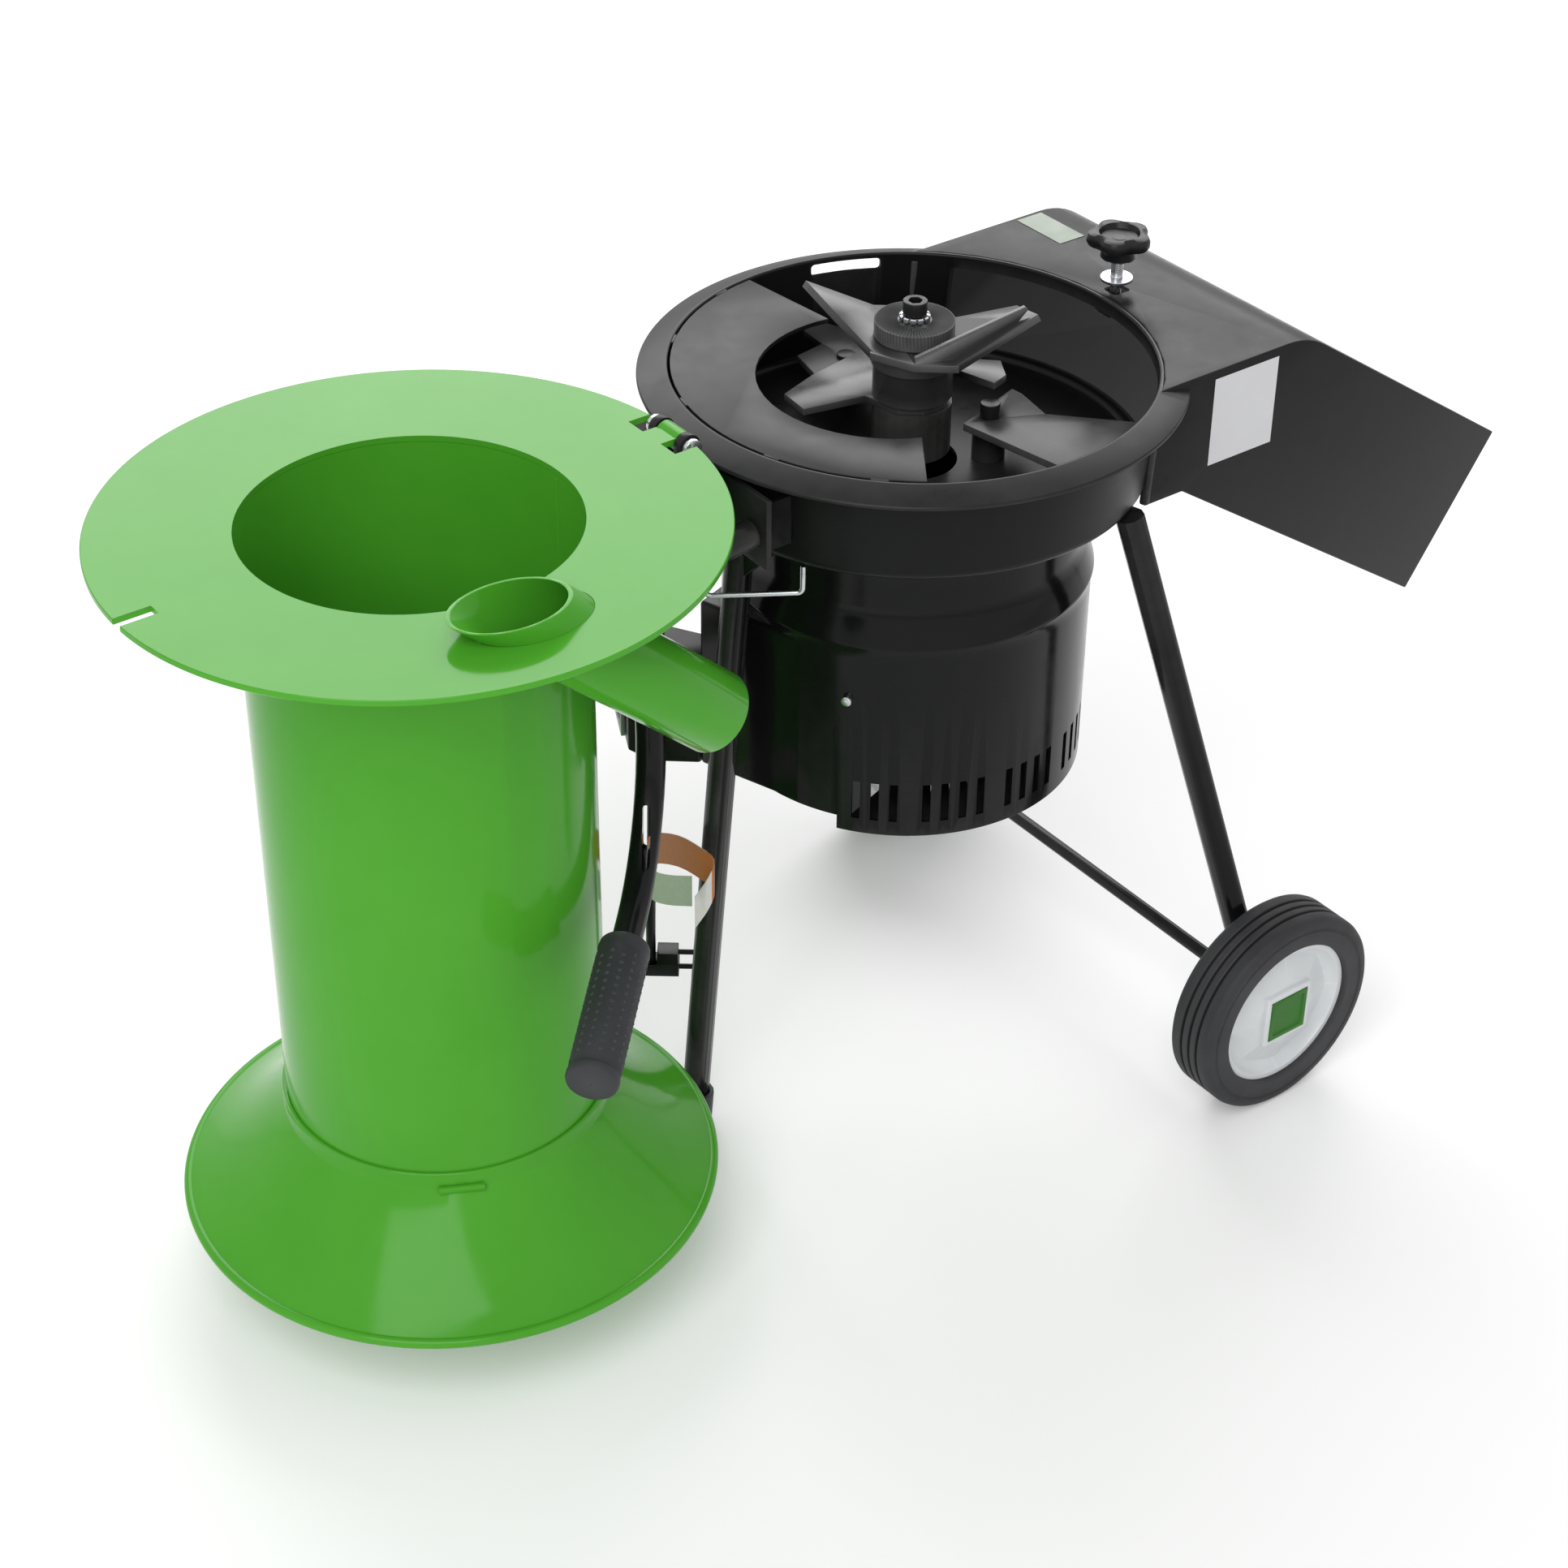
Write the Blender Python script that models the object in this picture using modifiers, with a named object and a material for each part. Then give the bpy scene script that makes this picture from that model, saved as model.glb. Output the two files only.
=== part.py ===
"""Garden shredder with a tilting hopper, a turning knife set and an electric motor.

Metres, +Z up. The pieces are modelled about the drum's upright axis, which stands on
the ground plane, and one empty then carries them to the middle of the outer box. +X runs
from the hopper's hinge to the discharge hood, and -Y is the side with the cord hook.
"""
import math

import bmesh
import bpy
from mathutils import Matrix, Vector

MM = 0.001
GAP = 0.3 * MM
MERGE = 0.00001

# Rings of facets
FINE = 40
MEDIUM = 24
SMALL = 16
TINY = 12

# Knife drum
DRUM_TOP = 552 * MM
DRUM_BORE = 157.5 * MM
DRUM_WALL = 2.5 * MM
DRUM_DEPTH = 73 * MM
DRUM_TAPER = 4.5 * MM
DRUM_CORNER = 8 * MM
LIP_WIDTH = 18 * MM
LIP_DROP = 6.2 * MM
SHAFT_PORT = 31 * MM
OUTLET_HALF_WIDTH = 105 * MM
OUTLET_SILL = 6 * MM
OUTLET_HEAD = 9 * MM
SIGHT_SLOT_START = 59.5
SIGHT_SLOT_END = 77.5
SIGHT_SLOT_HEIGHT = 8 * MM
SIGHT_SLOT_BELOW = 3.5 * MM
DRUM_FLOOR = DRUM_TOP - DRUM_DEPTH
DRUM_OUTER = DRUM_BORE + DRUM_WALL
LIP_REACH = DRUM_OUTER + LIP_WIDTH

# Feed plate inside the drum's mouth
FEED_THICK = 3.2 * MM
FEED_START = 96
FEED_END = 234.5
FEED_BITE_X = -24 * MM
FEED_BITE_Y = -5 * MM
FEED_BITE_RADIUS = 85 * MM

# Discharge hood
HOOD_HALF_WIDTH = 125 * MM
HOOD_SHEET = 2 * MM
HOOD_REACH = 430.5 * MM
HOOD_END_DROP = 134.5 * MM
HOOD_SLOPE = math.radians(34)
HOOD_DEPTH = 125.5 * MM
HOOD_BEND = 60 * MM
HOOD_BOTTOM_DROP = 81.5 * MM

# Hopper, hanging open beside the drum
HINGE_OUT = 9.5 * MM
HINGE_X = -(LIP_REACH + HINGE_OUT)
HINGE_ABOVE_DRUM = 4.9 * MM
FLANGE_OVERHANG = 1.5 * MM
FLANGE_RADIUS = FLANGE_OVERHANG - HINGE_X
FLANGE_THICK = 4 * MM
FLANGE_CLEARANCE = 0.5 * MM
HOPPER_TUBE_RADIUS = 104.6 * MM
HOPPER_SHEET = 2 * MM
HOPPER_LENGTH = 492 * MM
CONE_HEIGHT = 70 * MM
CONE_SLEEVE = 20 * MM
CONE_SAG = 6 * MM
CONE_RIM_RADIUS = 174.5 * MM
CONE_BEAD = 3.5 * MM
TONGUE_HALF = 9.5 * MM
NOTCH_OUTER = 25 * MM
NOTCH_DEPTH = 16.5 * MM
CLAMP_SLOT_HALF = 4.7 * MM
CLAMP_SLOT_DEPTH = 24 * MM
BARREL_RADIUS = 7 * MM
HINGE_PIN_RADIUS = 4 * MM
LUG_GAP = 1.2 * MM
LUG_THICK = 6 * MM

# Branch tube through the hopper's flange
BRANCH_RADIUS = 25.8 * MM
BRANCH_WALL = 2 * MM
BRANCH_Y = -129.3 * MM
BRANCH_LEAN = math.radians(48)
BRANCH_STAND = 12.5 * MM
BRANCH_LENGTH = 168 * MM
BRANCH_FLARE = 0.6 * MM

# Knife set on the motor's shaft
SHAFT_RADIUS = 10 * MM
HUB_RADIUS = 26 * MM
HUB_BOTTOM = DRUM_FLOOR + 11 * MM
KNIFE_THICK = 5 * MM
LOWER_KNIFE_TOP = DRUM_TOP - 23 * MM
UPPER_KNIFE_TOP = DRUM_TOP + 18 * MM
CLAMP_DISC_THICK = 12 * MM
SPACER_STEP = 1.5 * MM
SPRING_WASHER_THICK = 3 * MM
CAP_SCREW_RADIUS = 8 * MM
CAP_SCREW_HEIGHT = 9 * MM
CAP_SCREW_SHANK = 4 * MM
CAP_SCREW_GRIP = 18 * MM
WING_AZIMUTH = math.radians(-38.4)
WING_RISE = math.radians(27.5)
LOWER_KNIFE_EDGE = [(-68.4, 46.6), (-70.7, 22.7), (-28, 14), (-21, -11), (-8, -22), (9, -22), (22, -10)]
LOWER_KNIFE_EDGE += [(24, 6), (43, 7.8), (51.1, -21.5), (64.7, -17.5), (74.9, 0.4), (63.3, 11.5)]
LOWER_KNIFE_EDGE += [(38, 38), (19, 67.6), (-35.8, 57.6)]
WING_TIPS = {"a": ((58, -20.3), (44, 5)), "b": ((50.5, -28), (27, -2))}
FIN_AZIMUTH = math.radians(18.4)

# Fixed counter knives on the drum's floor
COUNTER_THICK = 5 * MM
COUNTER_TOP = DRUM_TOP - 41 * MM
COUNTER_FAR = [(-23, 50), (-8.7, 111.8), (15.3, 116.3), (17, 138.7), (33.9, 144.5), (45.4, 116.8), (31, 46)]
COUNTER_NEAR = [(21.6, -27), (42, -142), (116, -93), (73.3, -48.1), (78.9, -17.8), (78.1, -8.8)]
COUNTER_BOLTS = [(17.7, 92, 2), (42.1, -29, 10)]

# Motor
COVER_RADIUS = 123.5 * MM
COVER_NECK_RADIUS = COVER_RADIUS - 6.5 * MM
COVER_BEAD_Z = DRUM_FLOOR - 71 * MM
COVER_HEIGHT = 215 * MM
COVER_BOTTOM = DRUM_FLOOR - COVER_HEIGHT
COVER_SHEET = 2 * MM
COVER_PORT = COVER_NECK_RADIUS - 22 * MM
ANNEX_AZIMUTH = math.radians(199)
ANNEX_START = -27 * MM
ANNEX_LENGTH = 82 * MM
ANNEX_BOTTOM = COVER_BOTTOM + 11 * MM
VENT_WIDTH = 5.5 * MM
VENT_LOW = ANNEX_BOTTOM + 0.5 * MM
VENT_HIGH = VENT_LOW + 29.5 * MM
VENT_PITCH = math.radians(5.8)
VENT_GROUP_PITCH = math.radians(27.5)
VENT_FIRST = math.radians(-139.5)
STATOR_RADIUS = COVER_RADIUS - 43.5 * MM
STATOR_BORE = 44 * MM
STATOR_BOTTOM = COVER_BOTTOM + 60 * MM
STATOR_HEIGHT = 88 * MM
ROTOR_AIR_GAP = 1 * MM
SHIELD_THICK = 6 * MM
SHIELD_HUB = 27 * MM
BEARING_RADIUS = 20 * MM
BEARING_WIDTH = 12 * MM
FAN_RADIUS = STATOR_RADIUS + 4 * MM
FAN_TOP = COVER_BOTTOM + 40 * MM
FAN_HEIGHT = 18 * MM
FAN_BLADES = 8
FAN_BOSS = 22 * MM
BASE_SLOTS = 10

# Switch box on the motor cover's annex, and its rocker
BOX_HEIGHT = 84 * MM
BOX_NEAR_REACH = 48.2 * MM
BOX_FACE_WIDTH = 55.9 * MM
BOX_NEAR_AZIMUTH = math.radians(140.9)
BOX_FACE_AZIMUTH = math.radians(63.4)
ROCKER_CENTRE_Z = ANNEX_BOTTOM + 35 * MM
BEZEL_WIDTH = 31 * MM
BEZEL_HEIGHT = 46 * MM
BEZEL_STAND = 3 * MM
ROCKER_WIDTH = 20 * MM
ROCKER_HEIGHT = 29 * MM
ROCKER_DEPTH = 11 * MM
ROCKER_TILT = math.radians(8)
ROCKER_ROOM = 2 * MM

# Undercarriage
LEG_RADIUS = 9.5 * MM
WHEEL_RADIUS = 78 * MM
WHEEL_X = 176 * MM
WHEEL_FACE_Y = 229.75 * MM
WHEEL_WIDTH = 39.5 * MM
RIM_RADIUS = 56 * MM
RIM_WIDTH = 31 * MM
GROOVE_WIDTH = 2.6 * MM
GROOVE_DEPTH = 2.5 * MM
AXLE_RADIUS = 5 * MM
AXLE_CLEAR = 0.35 * MM
HUB_STAND = 2.5 * MM
HUB_RADIUS_WHEEL = 18 * MM
HUB_CAP_SIDE = 34 * MM
LEG_TAB_THICK = 6 * MM
REAR_LEG_TOP = Vector((71, 136, 0)) * MM
FRONT_LEG_TOP_X = -(COVER_RADIUS + LEG_RADIUS + 3 * MM)
FRONT_LEG_FOOT_X = FRONT_LEG_TOP_X - 42 * MM
FOOT_RADIUS = LEG_RADIUS + 3.5 * MM
FOOT_HEIGHT = 28 * MM
FOOT_SOLE = 4 * MM

# Pulling handles
HANDLE_TOP = Vector((-(DRUM_OUTER + 11.2 * MM), 58 * MM, DRUM_TOP - 42 * MM))
HANDLE_KNEE = HANDLE_TOP + Vector((-76.8, 0, -6)) * MM
HANDLE_ELBOW = HANDLE_TOP + Vector((-76.8, 0, -194.3)) * MM
HANDLE_END = HANDLE_TOP + Vector((-215, 135.9, -234.3)) * MM
HANDLE_BEND = 24 * MM
HANDLE_ELBOW_BEND = 90 * MM
HANDLE_SLOT_AT = HANDLE_TOP + Vector((-89.1, 12.2, -173.8)) * MM
HANDLE_SLOT_WIDTH = 5 * MM
HANDLE_SLOT_HEIGHT = 31 * MM
HANDLE_SLOT_AZIMUTH = math.radians(53)
GRIP_RADIUS = LEG_RADIUS + 7 * MM
GRIP_LENGTH = 108 * MM
GRIP_END_WALL = 4 * MM

# Swing bolt and knob that hold the hopper's flange down
CLAMP_X = FLANGE_RADIUS - 16 * MM
CLAMP_PIVOT_DROP = 9 * MM
CLAMP_PIN_RADIUS = 2.5 * MM
CLAMP_STUD_RADIUS = 4 * MM
CLAMP_EYE_RADIUS = 6 * MM
CLAMP_EYE_HALF = 4.5 * MM
CLAMP_WASHER_ABOVE = 8 * MM
CLAMP_KNOB_ABOVE = 24 * MM
CLAMP_KNOB_HEIGHT = 19 * MM
CLAMP_KNOB_RADIUS = 22 * MM
CLAMP_KNOB_LOBES = 5
KNOB_POINTS = 30
CLAMP_SWING = math.radians(13)

# Mains cord and its plug
CORD_RADIUS = 3.5 * MM
CORD_EXIT = Vector((-162.3, 68, 0)) * MM
GLAND_RADIUS = 9 * MM
GLAND_LENGTH = 24 * MM
PLUG_CENTRE = Vector((-156, 68, 92.5)) * MM
PLUG_AZIMUTH = math.radians(-38)
PRONG_RADIUS = 2 * MM
PRONG_LENGTH = 19 * MM
TAG_WIDTH = 26 * MM
TAG_THICK = 0.6 * MM

# Places worked out from the sizes above
HINGE_Z = DRUM_TOP + HINGE_ABOVE_DRUM
FLANGE_FACE = HINGE_Z + (HINGE_ABOVE_DRUM - FLANGE_CLEARANCE)
HOPPER_X = HINGE_X * 2
FLANGE_UNDER = FLANGE_FACE - FLANGE_THICK
CONE_RIM_Z = FLANGE_FACE - HOPPER_LENGTH
CONE_NECK_Z = CONE_RIM_Z + CONE_HEIGHT
WHEEL_MIDDLE_Y = WHEEL_FACE_Y - WHEEL_WIDTH / 2
FLANGE_REACH = FLANGE_RADIUS - CLAMP_SLOT_HALF * math.tan(math.pi / FINE)
MIDDLE_X = (HOOD_REACH + HOPPER_X - FLANGE_REACH) / 2


def annex_point(out, along):
    """A plan point of the annex: out along its face's normal, then along its face."""
    c, s = math.cos(ANNEX_AZIMUTH), math.sin(ANNEX_AZIMUTH)
    return (out * c + along * s, out * s - along * c)


def plan_step(point, reach, azimuth):
    """A plan point as a vector, moved by a reach along an azimuth."""
    return Vector((point[0], point[1], 0)) + Vector((math.cos(azimuth), math.sin(azimuth), 0)) * reach


BOX_NEAR = plan_step(annex_point(COVER_RADIUS, ANNEX_LENGTH + GAP), BOX_NEAR_REACH, BOX_NEAR_AZIMUTH)
BOX_FAR = plan_step(BOX_NEAR, BOX_FACE_WIDTH, BOX_FACE_AZIMUTH)
SWITCH_OUT = (BOX_FAR - BOX_NEAR).cross(Vector((0, 0, -1))).normalized()

# Colours as base colour, metallic, roughness
PAINTS = {
    "black_steel": ((0.022, 0.023, 0.024), 0.3, 0.35),
    "green_paint": ((0.16, 0.52, 0.12), 0.0, 0.3),
    "zinc": ((0.62, 0.63, 0.64), 1.0, 0.3),
    "knife_steel": ((0.16, 0.16, 0.17), 0.8, 0.4),
    "rubber": ((0.03, 0.03, 0.03), 0.0, 0.75),
    "wheel_white": ((0.75, 0.76, 0.76), 0.1, 0.4),
    "plastic_black": ((0.02, 0.02, 0.02), 0.0, 0.5),
    "signal_red": ((0.6, 0.02, 0.02), 0.0, 0.35),
    "grey_frame": ((0.45, 0.45, 0.46), 0.0, 0.5),
    "copper": ((0.5, 0.22, 0.1), 0.9, 0.4),
    "paper": ((0.8, 0.35, 0.12), 0.0, 0.8),
}

MODEL = "garden_shredder"
TOOLS = "cutters"


def start():
    """Empty the scene and make the two collections."""
    for thing in list(bpy.data.objects):
        bpy.data.objects.remove(thing, do_unlink=True)
    for name in (MODEL, TOOLS):
        bpy.context.scene.collection.children.link(bpy.data.collections.new(name))


def paint(name):
    """The Principled material of one colour, made once."""
    if name in bpy.data.materials:
        return bpy.data.materials[name]
    colour, metallic, roughness = PAINTS[name]
    made = bpy.data.materials.new(name)
    made.use_nodes = True
    shader = made.node_tree.nodes["Principled BSDF"]
    shader.inputs["Base Color"].default_value = (*colour, 1)
    shader.inputs["Metallic"].default_value = metallic
    shader.inputs["Roughness"].default_value = roughness
    return made


def place(thing, name, colour=None):
    """Name an object and file it with the model, or with the cutters if it has no colour."""
    for holder in list(thing.users_collection):
        holder.objects.unlink(thing)
    thing.name = name
    if colour:
        bpy.data.collections[MODEL].objects.link(thing)
        thing.data.materials.clear()
        thing.data.materials.append(paint(colour))
        shade(thing)
    else:
        bpy.data.collections[TOOLS].objects.link(thing)
        thing.hide_render = True
        thing.display_type = "WIRE"
    return thing


def shade(thing):
    """Smooth shading with edges over 35 degrees kept sharp."""
    if len(thing.data.polygons):
        thing.data.shade_smooth()
        thing.data.set_sharp_from_angle(angle=math.radians(35))


def combine(body, tool, operation):
    """Join a tool to a body, or cut it out of the body."""
    step = body.modifiers.new(operation.lower(), "BOOLEAN")
    step.operation = operation
    step.solver = "EXACT"
    step.object = tool
    return body


def cut(body, *tools):
    for tool in tools:
        combine(body, tool, "DIFFERENCE")
    return body


def join(body, *tools):
    for tool in tools:
        combine(body, tool, "UNION")
    return body


def turned(name, profile, colour=None, steps=FINE, closed=True):
    """A profile of (radius, height) points, outer side downwards, turned about +Z."""
    outline = bpy.data.meshes.new(name)
    edges = [(i, i + 1) for i in range(len(profile) - 1)]
    if closed:
        edges.append((len(profile) - 1, 0))
    outline.from_pydata([(r, 0, z) for r, z in profile], edges, [])
    thing = bpy.data.objects.new(name, outline)
    screw = thing.modifiers.new("turn", "SCREW")
    screw.axis = "Z"
    screw.angle = math.tau
    screw.steps = steps
    screw.render_steps = steps
    screw.use_merge_vertices = True
    screw.merge_threshold = MERGE
    screw.use_smooth_shade = True
    return place(thing, name, colour)


def ring(name, inner, outer, low, high, colour=None, steps=MEDIUM):
    """A plain turned ring."""
    return turned(name, [(outer, high), (outer, low), (inner, low), (inner, high)], colour, steps)


def solid(curve, name, colour):
    """Turn a curve object into a welded mesh object."""
    bpy.context.scene.collection.objects.link(curve)
    bpy.context.view_layer.update()
    seen = curve.evaluated_get(bpy.context.evaluated_depsgraph_get())
    mesh = bpy.data.meshes.new_from_object(seen)
    grown = bmesh.new()
    grown.from_mesh(mesh)
    bmesh.ops.remove_doubles(grown, verts=grown.verts, dist=MERGE)
    bmesh.ops.recalc_face_normals(grown, faces=grown.faces)
    grown.to_mesh(mesh)
    grown.free()
    made = bpy.data.objects.new(name, mesh)
    made.matrix_world = curve.matrix_world.copy()
    bpy.data.objects.remove(curve, do_unlink=True)
    return place(made, name, colour)


def plate(name, outlines, thick, middle, colour=None, upright=False):
    """A flat outline with its thickness about the middle height.

    An upright plate reads its outline as (x, z) and has its thickness along Y.
    """
    shape = bpy.data.curves.new(name, "CURVE")
    shape.dimensions = "2D"
    shape.fill_mode = "BOTH"
    shape.extrude = thick / 2
    for outline in outlines:
        spline = shape.splines.new("POLY")
        spline.points.add(len(outline) - 1)
        for point, (x, y) in zip(spline.points, outline):
            point.co = (x, y, 0, 1)
        spline.use_cyclic_u = True
    thing = bpy.data.objects.new(name, shape)
    if upright:
        thing.rotation_euler = (math.pi / 2, 0, 0)
        thing.location = (0, middle, 0)
    else:
        thing.location = (0, 0, middle)
    return solid(thing, name, colour)


def rod(name, points, radius, colour=None, sides=3):
    """A round bar or cord along points."""
    shape = bpy.data.curves.new(name, "CURVE")
    shape.dimensions = "3D"
    shape.bevel_depth = radius
    shape.bevel_resolution = sides
    shape.use_fill_caps = True
    spline = shape.splines.new("POLY")
    spline.points.add(len(points) - 1)
    for point, place_ in zip(spline.points, points):
        point.co = (*place_, 1)
    return solid(bpy.data.objects.new(name, shape), name, colour)


def bent(points, radius, turns=5):
    """Points of a bar with each corner rounded to a bend radius."""
    way = [Vector(points[0])]
    for before, corner, after in zip(points, points[1:], points[2:]):
        back = (Vector(before) - Vector(corner)).normalized()
        ahead = (Vector(after) - Vector(corner)).normalized()
        half = back.angle(ahead) / 2
        middle = Vector(corner) + (back + ahead).normalized() * (radius / math.sin(half))
        start_arm = Vector(corner) + back * (radius / math.tan(half)) - middle
        axis = start_arm.cross(Vector(corner) + ahead * (radius / math.tan(half)) - middle)
        for step in range(turns + 1):
            swing = Matrix.Rotation((math.pi - 2 * half) * step / turns, 3, axis)
            way.append(middle + swing @ start_arm)
    way.append(Vector(points[-1]))
    return way


def block(name, size, middle, colour=None, turn=0.0):
    """A box of a size at a place, turned about its upright axis."""
    bpy.ops.mesh.primitive_cube_add(size=1)
    thing = bpy.context.object
    thing.data.transform(Matrix.Diagonal((*size, 1)))
    thing.location = middle
    thing.rotation_euler = (0, 0, turn)
    return place(thing, name, colour)


def pin(name, radius, start_at, end_at, colour=None, sides=SMALL):
    """A cylinder between two points."""
    way = Vector(end_at) - Vector(start_at)
    bpy.ops.mesh.primitive_cylinder_add(vertices=sides, radius=radius, depth=way.length)
    thing = bpy.context.object
    thing.rotation_euler = way.to_track_quat("Z", "X").to_euler()
    thing.location = (Vector(start_at) + Vector(end_at)) / 2
    return place(thing, name, colour)


def arc(x, y, radius, first, last, count):
    """Points of an arc, with its angles in radians."""
    angles = [first + (last - first) * step / count for step in range(count + 1)]
    return [(x + radius * math.cos(a), y + radius * math.sin(a)) for a in angles]


def sized(points):
    """Plan points given in millimetres."""
    return [(x * MM, y * MM) for x, y in points]


def spun(points, azimuth):
    """Plan points turned about the drum's axis."""
    c, s = math.cos(azimuth), math.sin(azimuth)
    return [(x * c - y * s, x * s + y * c) for x, y in points]


def wall_at(height):
    """The drum wall's outer radius at a height."""
    share = (DRUM_TOP - height) / DRUM_DEPTH
    return DRUM_OUTER - DRUM_TAPER * share


def drum_room(name):
    """A cutter of the drum's outer shape and its clearance."""
    low = DRUM_FLOOR - 20 * MM
    reach, foot = DRUM_OUTER + 3 * GAP, wall_at(DRUM_FLOOR) + 3 * GAP
    profile = [(0, DRUM_TOP + 20 * MM), (reach, DRUM_TOP + 20 * MM), (reach, DRUM_TOP)]
    profile += [(foot, DRUM_FLOOR), (foot, low), (0, low)]
    return turned(name, profile, closed=False)


def hood_corner():
    """Plan points of the part of the lip that the hood's sheet takes the place of."""
    edge = HOOD_HALF_WIDTH + GAP
    reach = DRUM_OUTER + GAP / 2
    angle = math.asin(edge / reach)
    outline = arc(0, 0, reach, -angle, angle, 20)
    return outline + [(LIP_REACH + 20 * MM, edge), (LIP_REACH + 20 * MM, -edge)]


def make_drum():
    """The pressed drum with its sloping lip, outlet, sight slot and shaft port."""
    base = DRUM_FLOOR
    foot = wall_at(base)
    outer = [(LIP_REACH, DRUM_TOP - LIP_DROP), (LIP_REACH, DRUM_TOP - LIP_DROP - DRUM_WALL)]
    outer += [(DRUM_OUTER, DRUM_TOP - DRUM_WALL)]
    corner = arc(foot - DRUM_CORNER, base + DRUM_CORNER, DRUM_CORNER, 0, -math.pi / 2, 3)
    inner_corner = arc(foot - DRUM_CORNER, base + DRUM_CORNER, DRUM_CORNER - DRUM_WALL,
                       -math.pi / 2, 0, 3)
    port = [(SHAFT_PORT, base), (SHAFT_PORT, base + DRUM_WALL)]
    mouth = [(DRUM_BORE, DRUM_TOP - 0.8 * MM), (DRUM_BORE + 0.8 * MM, DRUM_TOP)]
    mouth += [(DRUM_OUTER, DRUM_TOP)]
    drum = turned("drum", outer + corner + port + inner_corner + mouth, "black_steel")
    outlet_low = base + DRUM_WALL + OUTLET_SILL
    outlet_high = DRUM_TOP - OUTLET_HEAD
    outlet = block("outlet_cut", (LIP_REACH, OUTLET_HALF_WIDTH * 2, outlet_high - outlet_low),
                   (LIP_REACH * 1.05, 0, (outlet_low + outlet_high) / 2))
    corner_cut = plate("lip_cut", [hood_corner()], 20 * MM, DRUM_TOP)
    first, last = math.radians(SIGHT_SLOT_START), math.radians(SIGHT_SLOT_END)
    slot = arc(0, 0, DRUM_BORE - 8 * MM, first, last, 8)
    slot += arc(0, 0, DRUM_OUTER + 1.5 * MM, last, first, 8)
    slot_cut = plate("sight_cut", [slot], SIGHT_SLOT_HEIGHT,
                     DRUM_TOP - SIGHT_SLOT_BELOW - SIGHT_SLOT_HEIGHT / 2)
    return cut(drum, slot_cut, corner_cut, outlet)


def make_feed_plate():
    """The C-shaped plate flush with the mouth, with one round bite for the knives."""
    reach = DRUM_BORE - 4 * GAP
    first, last = math.radians(FEED_START), math.radians(FEED_END)

    def bite(azimuth):
        """How far out the bite's edge is along one direction from the drum's axis."""
        along = FEED_BITE_X * math.cos(azimuth) + FEED_BITE_Y * math.sin(azimuth)
        off = FEED_BITE_X ** 2 + FEED_BITE_Y ** 2 - along ** 2
        return along + math.sqrt(FEED_BITE_RADIUS ** 2 - off)

    outline = arc(0, 0, reach, first, last, 32)
    for step in range(25):
        azimuth = last + (first - last) * step / 24
        outline.append((bite(azimuth) * math.cos(azimuth), bite(azimuth) * math.sin(azimuth)))
    middle = DRUM_TOP - 0.2 * MM - FEED_THICK / 2
    return plate("feed_plate", [outline], FEED_THICK, middle, "black_steel")


def hood_profile(inset, overrun):
    """The hood's side outline as (x, z), from the drum over the bend and round the end."""
    ahead = Vector((math.cos(HOOD_SLOPE), -math.sin(HOOD_SLOPE)))
    square = Vector((-math.sin(HOOD_SLOPE), -math.cos(HOOD_SLOPE)))
    end = Vector((HOOD_REACH, DRUM_TOP - HOOD_END_DROP)) + square * inset + ahead * overrun
    top = DRUM_TOP - inset
    knee_x = end.x - (top - end.y) / math.tan(HOOD_SLOPE)
    radius = HOOD_BEND - inset
    run = radius * math.tan(HOOD_SLOPE / 2)
    bend = arc(knee_x - run, top - radius, radius, math.pi / 2, math.pi / 2 - HOOD_SLOPE, 6)
    return top, bend, end, square


def make_chute_hood():
    """The discharge hood: a bent sheet with two side panels, open below and at its end."""
    top, bend, end, square = hood_profile(0, 0)
    foot = end + square * HOOD_DEPTH
    base = DRUM_TOP - HOOD_BOTTOM_DROP
    foot_x = foot.x - (base - foot.y) / math.tan(HOOD_SLOPE)
    outer = [(DRUM_BORE / 2, top)] + bend + [tuple(end), tuple(foot), (foot_x, base)]
    outer += [(DRUM_BORE / 2, base)]
    hood = plate("chute_hood", [outer], HOOD_HALF_WIDTH * 2, 0, "black_steel", upright=True)
    top, bend, end, square = hood_profile(HOOD_SHEET, 20 * MM)
    inner = [(0, top)] + bend + [tuple(end), (end.x, 0), (0, 0)]
    room = plate("hood_room", [inner], (HOOD_HALF_WIDTH - HOOD_SHEET) * 2, 0, upright=True)
    swing = CLAMP_PIVOT_DROP * math.tan(CLAMP_SWING) + CLAMP_STUD_RADIUS / math.cos(CLAMP_SWING)
    slot_low = CLAMP_X - CLAMP_STUD_RADIUS - 1 * MM
    slot_high = CLAMP_X + swing + 1.5 * MM
    slot = block("swing_slot", (slot_high - slot_low, (CLAMP_STUD_RADIUS + 1.5 * MM) * 2, 10 * MM),
                 ((slot_low + slot_high) / 2, 0, DRUM_TOP))
    return cut(hood, room, drum_room("hood_drum_room"), slot)


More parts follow.
